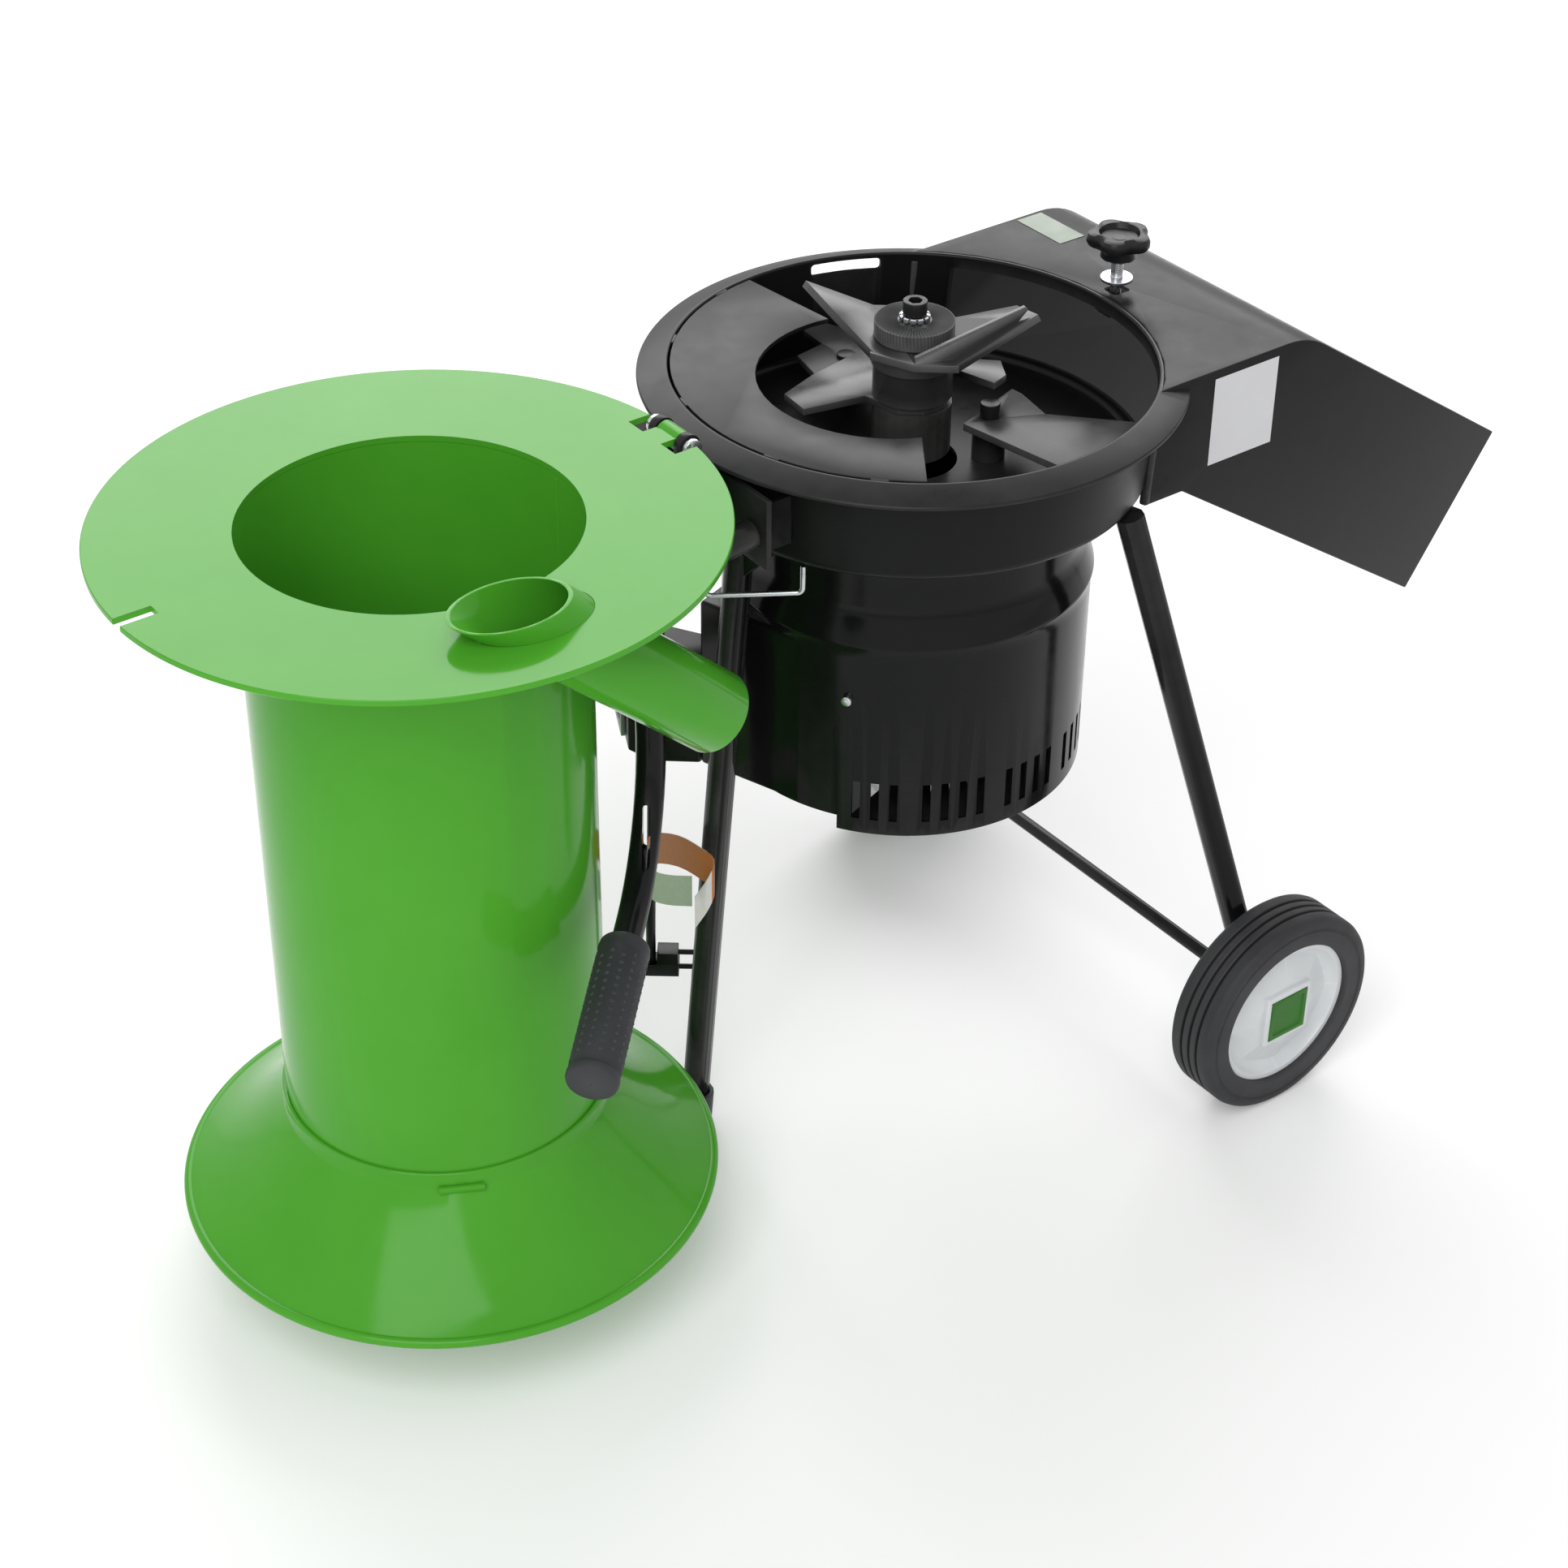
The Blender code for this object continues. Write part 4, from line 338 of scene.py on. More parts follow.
grey_plastic = finish_of("grey_plastic", (0.30, 0.31, 0.32), (0.24, 0.25, 0.26), (0.32, 0.5),
                         (0.7, 0.04), wear=((0.5, 0.5, 0.5), 0.5))
white_label = finish_of("blank_label", (0.66, 0.66, 0.67), (0.60, 0.60, 0.62), (0.3, 0.5),
                        (3.0, 0.02))
green_label = finish_of("pale_green_label", (0.24, 0.29, 0.22), (0.19, 0.24, 0.18), (0.3, 0.5),
                        (3.0, 0.02))
copper = finish_of("copper_winding", (0.55, 0.24, 0.10), (0.42, 0.17, 0.07), (0.3, 0.5),
                   (2.0, 0.4), metal=0.7)
print("finishes ready:", green_paint.name, "to", copper.name)

# %% [markdown]
# ## Light and floor
# A plain studio: an even white surround, one broad soft lamp over the camera's left shoulder,
# and one broad lamp high behind the machine. The level surfaces mirror the lamp behind, which is
# why the drum's top looks grey although its paint is black. The surround gives half its light,
# but it is seen, mirrored and looked through as plain white.

# %% Studio
world = bpy.data.worlds.new("studio")
bpy.context.scene.world = world
world.use_nodes = True
sky = world.node_tree
giving = sky.nodes["Background"]
giving.inputs["Strength"].default_value = 0.5
seen = add_node(sky, "ShaderNodeBackground", Strength=1.0)
for surround in (giving, seen):
    surround.inputs["Color"].default_value = (1, 1, 1, 1)
rays = add_node(sky, "ShaderNodeLightPath")
direct = add_node(sky, "ShaderNodeMath", operation="MAXIMUM")
sky.links.new(rays.outputs["Is Camera Ray"], direct.inputs[0])
sky.links.new(rays.outputs["Is Transmission Ray"], direct.inputs[1])
any_view = add_node(sky, "ShaderNodeMath", operation="MAXIMUM")
sky.links.new(direct.outputs["Value"], any_view.inputs[0])
sky.links.new(rays.outputs["Is Glossy Ray"], any_view.inputs[1])
mixed = add_node(sky, "ShaderNodeMixShader")
sky.links.new(any_view.outputs["Value"], mixed.inputs["Fac"])
sky.links.new(giving.outputs["Background"], mixed.inputs[1])
sky.links.new(seen.outputs["Background"], mixed.inputs[2])
sky.links.new(mixed.outputs["Shader"], sky.nodes["World Output"].inputs["Surface"])


def softbox(name, place, aim, width, height, watts):
    """One broad lamp, aimed at a point. Places and sizes are in metres."""
    lamp = bpy.data.lights.new(name, "AREA")
    lamp.shape = "RECTANGLE"
    lamp.size = width
    lamp.size_y = height
    lamp.energy = watts
    holder = bpy.data.objects.new(name, lamp)
    holder.location = place
    holder.rotation_euler = (Vector(aim) - Vector(place)).to_track_quat("-Z", "Y").to_euler()
    holder.visible_camera = False
    bpy.context.scene.collection.objects.link(holder)


softbox("lamp_front", (-1.7, -1.3, 2.3), (0, 0, 0.3), 1.8, 1.8, 42)
softbox("lamp_back", (1.75, 2.3, 2.5), (0.0, 0.0, 0.5), 3.4, 1.9, 84)

# %% Floor, a hair below the wheels
bpy.ops.mesh.primitive_plane_add(size=24, location=(0, 0, -0.5 * MM))
floor = bpy.context.object
floor.name = "floor"
bpy.ops.object.transform_apply(location=True, rotation=True, scale=True)
floor_white = bpy.data.materials.new("floor_white")
floor_white.use_nodes = True
matt = floor_white.node_tree.nodes["Principled BSDF"]
matt.inputs["Base Color"].default_value = (0.92, 0.92, 0.92, 1)
matt.inputs["Roughness"].default_value = 0.9
matt.inputs["Specular IOR Level"].default_value = 0.1
matt.inputs["Emission Color"].default_value = (1, 1, 1, 1)
matt.inputs["Emission Strength"].default_value = 0.15
floor.data.materials.append(floor_white)

# %% [markdown]
# ## Cord, strain relief, plug and tag
# The mains lead is short: it leaves the switch box through a tapered boot, hangs straight down
# behind the handle, and ends in its plug with two round pins. A lead is one smooth curve with a
# round section, so it is drawn as a curve with a bevel and not as a mesh.

# %% The cord's line
def smooth(points, count):
    """Even points of a smooth curve through the route's own points."""
    line = [Vector(p) for p in points]
    line = [line[0] * 2 - line[1]] + line + [line[-1] * 2 - line[-2]]
    way = []
    for number in range(1, len(line) - 2):
        a, b, c, d = line[number - 1:number + 3]
        for step in range(count):
            t = step / count
            part = b * 2 + (c - a) * t + (a * 2 - b * 5 + c * 4 - d) * t * t
            way.append((part + (b * 3 - a - c * 3 + d) * t ** 3) * 0.5)
    return way + [line[-2]]


LEAD_THICK = 7
LEAD_X, LEAD_Y = -162.3, 68
gland_low, gland_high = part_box("cord_gland")
cord_top = gland_low[2] / MM - 0.3
plug_turn = math.radians(-38)
plug_ahead = Vector((math.cos(plug_turn), math.sin(plug_turn), 0))
plug_middle = Vector((-156, 68, 92.5))
cord_end = plug_middle - plug_ahead * 8 + Vector((0, 0, 0.8))
route = [Vector((LEAD_X, LEAD_Y, cord_top)), Vector((LEAD_X, LEAD_Y, cord_top - 12)),
         Vector((-163.3, 68, 197)), Vector((-163.8, 70, 143)), cord_end + Vector((0, 0, 14)), cord_end]
line = smooth(route, 3)
lead = draw_line("mains_cord_lead", line, LEAD_THICK / 2, 6)
lead.data.materials.append(black_plastic)
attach(lead, "base")
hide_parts("mains_cord")

# %% The tapered boot, with its flexing grooves
BOOT_RIBS = 4
boot_high = gland_high[2] / MM
boot_low = gland_low[2] / MM
rib_height = (boot_high - 4 - boot_low) / BOOT_RIBS
boot_rings = [(8.6, boot_high), (8.6, boot_high - 3), (7.2, boot_high - 3.6)]
for number in range(BOOT_RIBS):
    rib_top = boot_high - 4 - rib_height * number
    rib_low = rib_top - rib_height
    wide = 7.0 - 2.4 * number / BOOT_RIBS
    boot_rings += [(wide, rib_top), (wide - 0.5, rib_low + 1.2), (wide - 1.3, rib_low + 0.9),
                   (wide - 1.3, rib_low + 0.1)]
boot_rings += [(4.4, boot_low), (3.6, boot_low), (3.6, boot_high)]
boot = raise_rings("cord_boot", boot_rings, centre=(LEAD_X, LEAD_Y), sides=32)
settle(boot, "base", ["cord_gland"], black_plastic, 40)

# %% The plug
plug = round_edges(copy_of("plug", "plug_moulded"), 0.9, 3)
settle(plug, "base", ["plug"], black_plastic)

# %% [markdown]
# The tag is a strip of card looped over the lead: warm orange on the inner side of its upper
# half and pale elsewhere. Here it stays blank. Its bent shape is the engineer's, and a face
# attribute tells the finish which side is which.

# %% The tag's card
def card_finish():
    """Orange on one side and pale on the other, with the soft fibre of card."""
    made = bpy.data.materials.new("tag_card")
    made.use_nodes = True
    tree = made.node_tree
    shader = tree.nodes["Principled BSDF"]
    shader.inputs["Roughness"].default_value = 0.62
    sides = add_node(tree, "ShaderNodeAttribute", attribute_name="inner_side")
    where = add_node(tree, "ShaderNodeTexCoord")
    fibre = add_node(tree, "ShaderNodeTexNoise", Scale=260.0, Detail=4.0)
    tree.links.new(where.outputs["Object"], fibre.inputs["Vector"])
    warm = add_node(tree, "ShaderNodeMix", data_type="RGBA")
    warm.inputs["A"].default_value = (0.62, 0.17, 0.035, 1)
    warm.inputs["B"].default_value = (0.50, 0.12, 0.025, 1)
    pale = add_node(tree, "ShaderNodeMix", data_type="RGBA")
    pale.inputs["A"].default_value = (0.74, 0.73, 0.70, 1)
    pale.inputs["B"].default_value = (0.64, 0.62, 0.60, 1)
    both = add_node(tree, "ShaderNodeMix", data_type="RGBA")
    for one in (warm, pale):
        tree.links.new(fibre.outputs["Fac"], one.inputs["Factor"])
    tree.links.new(sides.outputs["Fac"], both.inputs["Factor"])
    tree.links.new(pale.outputs["Result"], both.inputs["A"])
    tree.links.new(warm.outputs["Result"], both.inputs["B"])
    tree.links.new(both.outputs["Result"], shader.inputs["Base Color"])
    bump = add_node(tree, "ShaderNodeBump", Strength=0.6, Distance=0.05 * MM)
    tree.links.new(fibre.outputs["Fac"], bump.inputs["Height"])
    tree.links.new(bump.outputs["Normal"], shader.inputs["Normal"])
    return made


tag = copy_of("cord_tag", "cord_tag_card")
tag_side = tag.data.attributes.new("inner_side", "FLOAT", "FACE")
curl = spot(-184, 0, 189)
for side in tag.data.polygons:
    inwards = side.normal.dot(Vector((-0.6, -0.8, 0))) > 0.1
    above = side.center.z > curl.z and side.center.x > curl.x
    tag_side.data[side.index].value = float(inwards and above)
settle(tag, "base", ["cord_tag"], card_finish(), 60)

# %% [markdown]
# ## The hopper
# On the real machine the hopper is a rolled tube welded to a laser-cut round flange, with a spun
# cone pushed over its foot and a thin tube for branches let through the flange at a slant. It
# could be lathed as one profile, but then the joints between sheets would be lost, so each sheet
# is raised as its own wall of rings and the holes are cut afterwards.

# %% Heights and places of the hopper
DRUM_TOP = 552
HINGE = (-187.5, 0, DRUM_TOP + 4.9)
HOPPER = (-375, 0)
plate_top = HINGE[2] + 4.4
plate_low = plate_top - 4
rim_z = plate_top - 492
neck_z = rim_z + 67
print("flange top", plate_top, "cone rim", rim_z, "neck", neck_z)


def arc_of(x, z, radius, first, last, count):
    """Points of an arc in (radius, height), angles in degrees."""
    angles = [math.radians(first + (last - first) * step / count) for step in range(count + 1)]
    return [(x + radius * math.cos(a), z + radius * math.sin(a)) for a in angles]


# %% [markdown]
# The flange carries a hinge tongue between two notches, a slot for the swing bolt at its far
# edge and the slanting hole of the branch tube. A plate cut by laser has square edges with only
# a trace of paint on them, so they get a very small bevel.

# %% Flange
FLANGE_OUT = 189
TUBE_OUT, TUBE_IN = 104.6, 102.6
BRANCH_OUT, BRANCH_IN = 25.8, 23.8
BRANCH_ABOVE, BRANCH_BELOW = 60, 168
flange = raise_rings("flange_plate", [(FLANGE_OUT - 0.5, plate_top), (FLANGE_OUT, plate_top - 0.5),
                                      (FLANGE_OUT, plate_low + 0.5), (FLANGE_OUT - 0.5, plate_low),
                                      (TUBE_IN, plate_low), (TUBE_IN, plate_top)],
                     centre=HOPPER, sides=192)
carve(flange, bar("barrel", 7, (HINGE[0], -9.5, HINGE[2]), (HINGE[0], 9.5, HINGE[2])),
      operation="UNION")
branch_lean = math.radians(48)
lean = Vector((math.sin(branch_lean), 0, -math.cos(branch_lean)))
branch_at = Vector((HOPPER[0], -129.3, plate_top))
branch_top = branch_at - lean * BRANCH_ABOVE
branch_low = branch_at + lean * BRANCH_BELOW
holes = [bar("barrel_bore", 4.3, (HINGE[0], -20, HINGE[2]), (HINGE[0], 20, HINGE[2]))]
for side in (-1, 1):
    holes.append(brick("notch", (40, 15.5, 30), (-184, side * 17.25, plate_top)))
holes.append(brick("bolt_slot", (60, 9.4, 30), (-570, 0, plate_top)))
holes.append(bar("branch_hole", BRANCH_OUT + 0.3, branch_top, branch_at + lean * 60, 64))
carve(flange, *holes)
settle(flange, "hopper", ["hopper_flange"], green_paint)

# %% Tube, with the weld seam inside it
tube = raise_rings("hopper_tube_wall", [(TUBE_OUT, plate_low - 0.3), (TUBE_OUT, neck_z),
                                        (TUBE_IN, neck_z), (TUBE_IN, plate_low - 0.3)],
                   centre=HOPPER, sides=192)
carve(tube, bar("branch_seat", BRANCH_OUT + 0.3, branch_top, branch_low, 64))
seam_x = HOPPER[0] + TUBE_IN + 0.1
seam = bar("seam", 1.1, (seam_x, 2, neck_z + 20), (seam_x, 2, plate_low - 3), 8)
carve(tube, seam, operation="UNION")
settle(tube, "hopper", ["hopper_tube"], green_paint)

# %% [markdown]
# The cone is spun from one sheet: a short sleeve that grips the tube, a slightly hollow flare,
# and an edge rolled round into a bead. The bead is what gives the rim its thickness in the
# picture. A small folded tab shows beside the sleeve.

# %% Cone
def flare(low, high, shares):
    """Points of the slightly hollow flare between two points."""
    return [(low[0] + (high[0] - low[0]) * t,
             low[1] + (high[1] - low[1]) * t - 24 * t * (1 - t)) for t in shares]


SLEEVE = 13
shares = [number / 8 for number in range(1, 8)]
cone_rings = [(106.4, neck_z + SLEEVE), (106.9, neck_z + SLEEVE - 0.5), (106.9, neck_z + 0.8),
              (107.8, neck_z - 0.8)]
cone_rings += flare((107.8, neck_z - 0.8), (173, rim_z + 3.2), shares)
cone_rings += arc_of(174.5, rim_z, 3.5, 115, -165, 14)
cone_rings += flare((105.6, neck_z - 2.4), (171.4, rim_z + 0.6), shares[::-1])
cone_rings += [(TUBE_OUT + 0.3, neck_z - 2), (TUBE_OUT + 0.3, neck_z + SLEEVE)]
cone = raise_rings("cone_sheet", cone_rings, centre=HOPPER, sides=192)
tab_turn = math.radians(243)
tab_x, tab_y = HOPPER[0] + 108.4 * math.cos(tab_turn), 108.4 * math.sin(tab_turn)
tab = brick("folded_tab", (3.2, 30, 5), (tab_x, tab_y, neck_z + 1.5), tab_turn)
round_edges(tab, 1.2, 2)
carve(cone, tab, operation="UNION")
settle(cone, "hopper", ["hopper_cone"], green_paint)

# %% Branch tube
MOUTH_ABOVE = 12.5
branch = bar("branch_pipe", BRANCH_OUT, branch_top, branch_low, 96)
round_edges(branch, 0.7, 2)
carve(branch, bar("branch_bore", BRANCH_IN, branch_top - lean * 20, branch_low + lean * 20, 96),
      brick("branch_level", (300, 120, 120), (branch_at.x, branch_at.y, plate_top + MOUTH_ABOVE + 60)))
round_edges(branch, 0.35, 2)
settle(branch, "hopper", ["branch_tube"], green_paint)
print("hopper sheets:", [thing.name for thing in (flange, tube, cone, branch)])

# %% [markdown]
# ## The knife drum
# The drum is a deep-drawn pan: a round corner at its floor, walls that open by a degree or two,
# and a lip that slopes outwards. Drawing gives one smooth skin, so it is one wall of rings. The
# side opening, the sight slot and the place of the hood's sheet are cut from it.

# %% Drum pan
LIP_OUT, WALL_OUT, PAN_SHEET = 178, 155.5, 2.5
drum_floor = DRUM_TOP - 73
drum_rings = [(LIP_OUT - 0.6, DRUM_TOP - 6), (LIP_OUT, DRUM_TOP - 6.8), (LIP_OUT, DRUM_TOP - 8.2),
              (LIP_OUT - 0.6, DRUM_TOP - 8.7), (160, DRUM_TOP - 2.5)]
drum_rings += arc_of(WALL_OUT - 8, drum_floor + 8, 8, 0, -90, 8)
drum_rings += [(31, drum_floor), (31, drum_floor + PAN_SHEET)]
drum_rings += arc_of(WALL_OUT - 8, drum_floor + 8, 8 - PAN_SHEET, -90, 0, 8)
drum_rings += arc_of(159.2, DRUM_TOP - 1.7, 1.7, 180, 90, 4) + [(160.2, DRUM_TOP - 0.1)]
drum = raise_rings("drum_pan", drum_rings, sides=192)
lip_cut = brick("lip_cut", (100, 250.6, 20), (150, 0, DRUM_TOP))
carve(lip_cut, bar("lip_core", 160.15, (0, 0, DRUM_TOP - 40), (0, 0, DRUM_TOP + 40), 192))
slot_turn = math.radians(68.5)
slot_at = (WALL_OUT * math.cos(slot_turn), WALL_OUT * math.sin(slot_turn), DRUM_TOP - 7.5)
sight = brick("sight_slot", (12, 49, 8), slot_at, slot_turn)
modify(sight, "BEVEL", width=2.5 * MM, segments=3)
carve(drum, lip_cut, sight, brick("outlet", (178, 210, 55.5), (186.9, 0, drum_floor + 36.25)))
settle(drum, "base", ["drum"], black_paint)

# %% [markdown]
# The feed plate and the hood are cut and folded from flat sheet. Their outlines are already
# right in the engineer's solids, so they are copied and only their edges are eased. Short tack
# welds join the feed plate to the drum, and a longer one joins each side of the hood to the
# drum's wall.

# %% Feed plate, hood and welds
feed = round_edges(copy_of("feed_plate"), 0.5, 2)
settle(feed, "base", ["feed_plate"], black_paint)
hood = round_edges(copy_of("chute_hood"), 1.2, 3)
settle(hood, "base", ["chute_hood"], black_paint)


def weld_bead(name, low, high, radius):
    """A round bead with soft ends between two points."""
    bead = bar(name, radius, low, high, 10)
    round_edges(bead, radius * 0.6, 2)
    return bead


beads = []
for azimuth in (104, 131, 163, 196, 222):
    a = math.radians(azimuth)
    b = math.radians(azimuth + 4)
    beads.append(weld_bead("tack", (157 * math.cos(a), 157 * math.sin(a), DRUM_TOP - 0.9),
                           (157 * math.cos(b), 157 * math.sin(b), DRUM_TOP - 0.9), 1.1))
for side in (-1, 1):
    beads.append(weld_bead("hood_weld", (100.5, side * 123.8, DRUM_TOP - 6),
                           (95, side * 123.8, drum_floor - 7), 3.4))
welds = join_all(beads)
welds.name = "weld_beads"
settle(welds, "base", [], black_paint, 60)
print("weld beads:", len(beads), "faces", len(drum.data.polygons))

# %% [markdown]
# ## The motor's cover
# The cover is a drawn pot: a narrower neck under the drum, a swelled bead, and a straight skirt
# with rows of short vents. A flat-sided annex for the wiring is folded out of the skirt. The
# round part is raised in rings; the annex is a hollowed box whose face runs off the pot at a
# tangent, joined to it.

# %% Pot
bead_z = drum_floor - 71
foot_z = drum_floor - 215
annex_foot = foot_z + 11
annex_turn = math.radians(199)


def annex_spot(out, along, height):
    """A place on the annex: out along its face's normal, then along the face."""
    c, s = math.cos(annex_turn), math.sin(annex_turn)
    return (out * c + along * s, out * s - along * c, height)


NECK_OUT, SKIRT_OUT = 117, 123.5
pot_rings = [(NECK_OUT - 0.8, drum_floor - 0.3), (NECK_OUT, drum_floor - 1.1), (NECK_OUT, bead_z + 28)]
pot_rings += [(117.6, bead_z + 23), (119.4, bead_z + 18), (123.2, bead_z + 9.5)]
pot_rings += arc_of(120.5, bead_z + 2, 4.5, 30, -25, 5)
pot_rings += [(123.9, bead_z - 4), (SKIRT_OUT, bead_z - 9), (SKIRT_OUT, foot_z + 0.5)]
pot_rings += [(SKIRT_OUT - 0.5, foot_z), (SKIRT_OUT - 2, foot_z), (SKIRT_OUT - 2, bead_z + 4)]
pot_rings += [(118, bead_z + 15), (NECK_OUT - 2, bead_z + 25), (NECK_OUT - 2, drum_floor - 2.3)]
pot_rings += [(95, drum_floor - 2.3), (95, drum_floor - 0.3)]
pot = raise_rings("motor_pot", pot_rings, sides=160)
annex = brick("annex_part", (63.5, 82, 129), annex_spot(91.75, 41, annex_foot + 64.5), annex_turn)
modify(annex, "BEVEL", width=3 * MM, segments=3)
carve(annex, brick("annex_room", (57.5, 76, 140), annex_spot(91.75, 41, annex_foot + 56), annex_turn))
carve(pot, annex, operation="UNION")
notch = brick("annex_notch", (93.5, 129, 31), annex_spot(96.75, 37.5, annex_foot - 15.5), annex_turn)
carve(pot, notch)

# %% Vents
vents = []
for group in range(10):
    for place in range(4):
        degrees = -139.5 + 27.5 * group + 5.8 * (place - 1.5)
        a = math.radians(degrees)
        if -145 < degrees < 112:
            vents.append(brick("vent", (20, 5.5, 29.5), (SKIRT_OUT * math.cos(a),
                                                         SKIRT_OUT * math.sin(a),
                                                         annex_foot + 15.25), a))
print("vents to cut:", len(vents))
carve(pot, join_all(vents))
settle(pot, "base", ["motor_cover"], black_gloss, 30)

# %% [markdown]
# ## Knives
# The knives are dark hardened plates whose edges were ground bright. The flat ones are copied
# from the engineer with a small bevel, and so is the cap screw. Spacer, clamping disc and lock
# washer are turned parts, so they are raised in rings. The disc's top has fine serrations, and
# the washer has twelve gaps in its rim.

# %% Flat knives and their bolts
for node in ("upper_knife", "lower_knife"):
    settle(round_edges(copy_of(node), 0.45, 2), "rotor", [node], rotor_steel)
for node in ("counter_knife_1", "counter_knife_2"):
    settle(round_edges(copy_of(node), 0.45, 2), "base", [node], knife_steel)
for node in ("counter_bolt_1", "counter_bolt_2"):
    settle(round_edges(copy_of(node), 0.6, 3), "base", [node], black_plastic)

# %% Turned parts on the shaft
knife_top = DRUM_TOP + 18
disc_top = knife_top + 12
spacer_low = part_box("knife_spacer")[0][2] / MM
step_z = spacer_low + (knife_top - 5 - spacer_low) * 0.65
spacer = raise_rings("spacer_turned", [(27.1, knife_top - 5.3), (27.5, knife_top - 5.7),
                                       (27.5, step_z), (26, step_z - 1), (26, spacer_low + 0.4),
                                       (25.6, spacer_low), (10.3, spacer_low),
                                       (10.3, knife_top - 5.3)], sides=128)
settle(spacer, "rotor", ["knife_spacer"], rotor_steel)

# %% The clamping disc, every second spoke of its top pressed down
SPOKES = 144
disc = raise_rings("disc_turned", [(26, disc_top - 0.9), (26, knife_top + 0.9), (25.4, knife_top + 0.3),
                                   (4.3, knife_top + 0.3), (4.3, disc_top - 0.6), (11, disc_top - 0.6),
                                   (11.2, disc_top), (24.9, disc_top)], sides=SPOKES)
pick(disc)
bpy.ops.object.mode_set(mode="EDIT")
bpy.ops.mesh.select_all(action="DESELECT")
bpy.ops.object.mode_set(mode="OBJECT")
middle = spot(0, 0, disc_top)
for vertex in disc.data.vertices:
    place = disc.matrix_world @ vertex.co - middle
    spoke = round(math.atan2(place.y, place.x) / math.tau * SPOKES)
    vertex.select = abs(place.z) < 0.0001 and place.xy.length > 0.011 and spoke % 2 == 0
bpy.ops.object.mode_set(mode="EDIT")
bpy.ops.transform.translate(value=(0, 0, -0.7 * MM))
bpy.ops.object.mode_set(mode="OBJECT")
settle(disc, "rotor", ["clamp_disc"], rotor_steel, 12)

# %% Lock washer and cap screw
lock = raise_rings("lock_washer", [(10, disc_top + 0.3), (4.3, disc_top + 0.3), (4.3, disc_top + 3),
                                   (9, disc_top + 3.2), (10, disc_top + 2.6)], sides=64)
for step in range(12):
    a = math.tau * step / 12
    carve(lock, brick("gap", (5, 1.6, 8), (10.5 * math.cos(a), 10.5 * math.sin(a), disc_top + 2), a))
settle(lock, "rotor", ["spring_washer"], zinc)
cap = round_edges(copy_of("cap_screw", "cap_screw_turned"), 0.5, 3)
settle(cap, "rotor", ["cap_screw"], black_plastic)
print("disc top at", disc_top)

# %% [markdown]
# ## Wheels
# Each wheel is a white moulded rim with a black rubber tyre pushed over it. The tread has three
# grooves. The rim's face is a shallow dome with eight flat facets, and a square green cap sits in
# a raised frame in its centre. Tyre and rim are raised in rings about the upright axis and then
# laid on their side.

# %% Wheel sizes and how a wheel is laid on its side
WHEEL = (176, 210, 78)
TYRE_OUT, TREAD_LOW = 78, 75.2
half = 19.75


def lay(thing, side):
    """Turn a piece raised about the upright axis onto the wheel's axle, its face outwards."""
    pick(thing)
    turned = Matrix.Rotation(math.radians(-90 * side), 4, "X")
    place = Matrix.Translation(spot(WHEEL[0], side * WHEEL[1], WHEEL[2]))
    thing.matrix_world = place @ turned @ Matrix.Translation(-spot(0, 0, 0)) @ thing.matrix_world
    return thing


# %% Tyres
tyre_rings = [(72.6, half), (75.4, half - 0.8), (77.3, half - 2.6), (TYRE_OUT, half - 4.6)]
for groove in (7.5, 0, -7.5):
    tyre_rings += [(TYRE_OUT, groove + 1.9), (77.6, groove + 1.2), (TREAD_LOW, groove + 0.9),
                   (TREAD_LOW, groove - 0.9), (77.6, groove - 1.2), (TYRE_OUT, groove - 1.9)]
tyre_rings += [(TYRE_OUT, 4.6 - half), (77.3, 2.6 - half), (75.4, 0.8 - half), (72.6, -half)]
tyre_rings += [(57.6, -half), (56.3, -half + 1.3), (56.3, half - 1.3), (57.6, half)]
tyre_rings += [(68, half), (68.6, half - 0.5), (70, half - 0.5), (70.6, half)]
for side, word in ((-1, "right"), (1, "left")):
    tyre = raise_rings("tyre_moulded_" + word, tyre_rings, sides=160)
    settle(lay(tyre, side), "wheel_" + word, ["tyre_" + word], tyre_rubber, 28)

# %% Rims and caps
CAP_SIDE = 34
rim_half = 15.5
hoop = [(56, rim_half), (56, -rim_half), (50, -rim_half), (47, -6.2), (18, -6.2), (18, -22.2),
        (5.35, -22.2), (5.35, 8), (43, 8), (46, 9), (50.5, 12.5), (52, rim_half)]
for side, word in ((-1, "right"), (1, "left")):
    rim = raise_rings("rim_hoop_" + word, hoop, sides=128)
    dome = raise_rings("dome", [(48.5, 7.5), (48, 8.4), (27, 15.6), (5.35, 15.6), (5.35, 7.5)],
                       sides=8)
    round_edges(dome, 0.7, 2, 12)
    carve(rim, dome, operation="UNION")
    ledge = brick("cap_frame", (42, 42, 5), (0, 0, rim_half + 0.9))
    modify(ledge, "BEVEL", width=1.4 * MM, segments=3)
    carve(ledge, brick("cap_room", (CAP_SIDE + 0.8, CAP_SIDE + 0.8, 8), (0, 0, rim_half + 4.2)))
    carve(rim, ledge, operation="UNION")
    settle(lay(rim, side), "wheel_" + word, ["wheel_rim_" + word], white_plastic)
    cap = brick("cap_plate", (CAP_SIDE, CAP_SIDE, 3.9), (0, 0, rim_half + 2.25))
    carve(cap, brick("cap_dish", (27, 27, 4), (0, 0, half + 0.6)))
    round_edges(cap, 0.8, 3)
    settle(lay(cap, side), "wheel_" + word, ["hub_cap_" + word], cap_green)
print("wheels at", WHEEL)

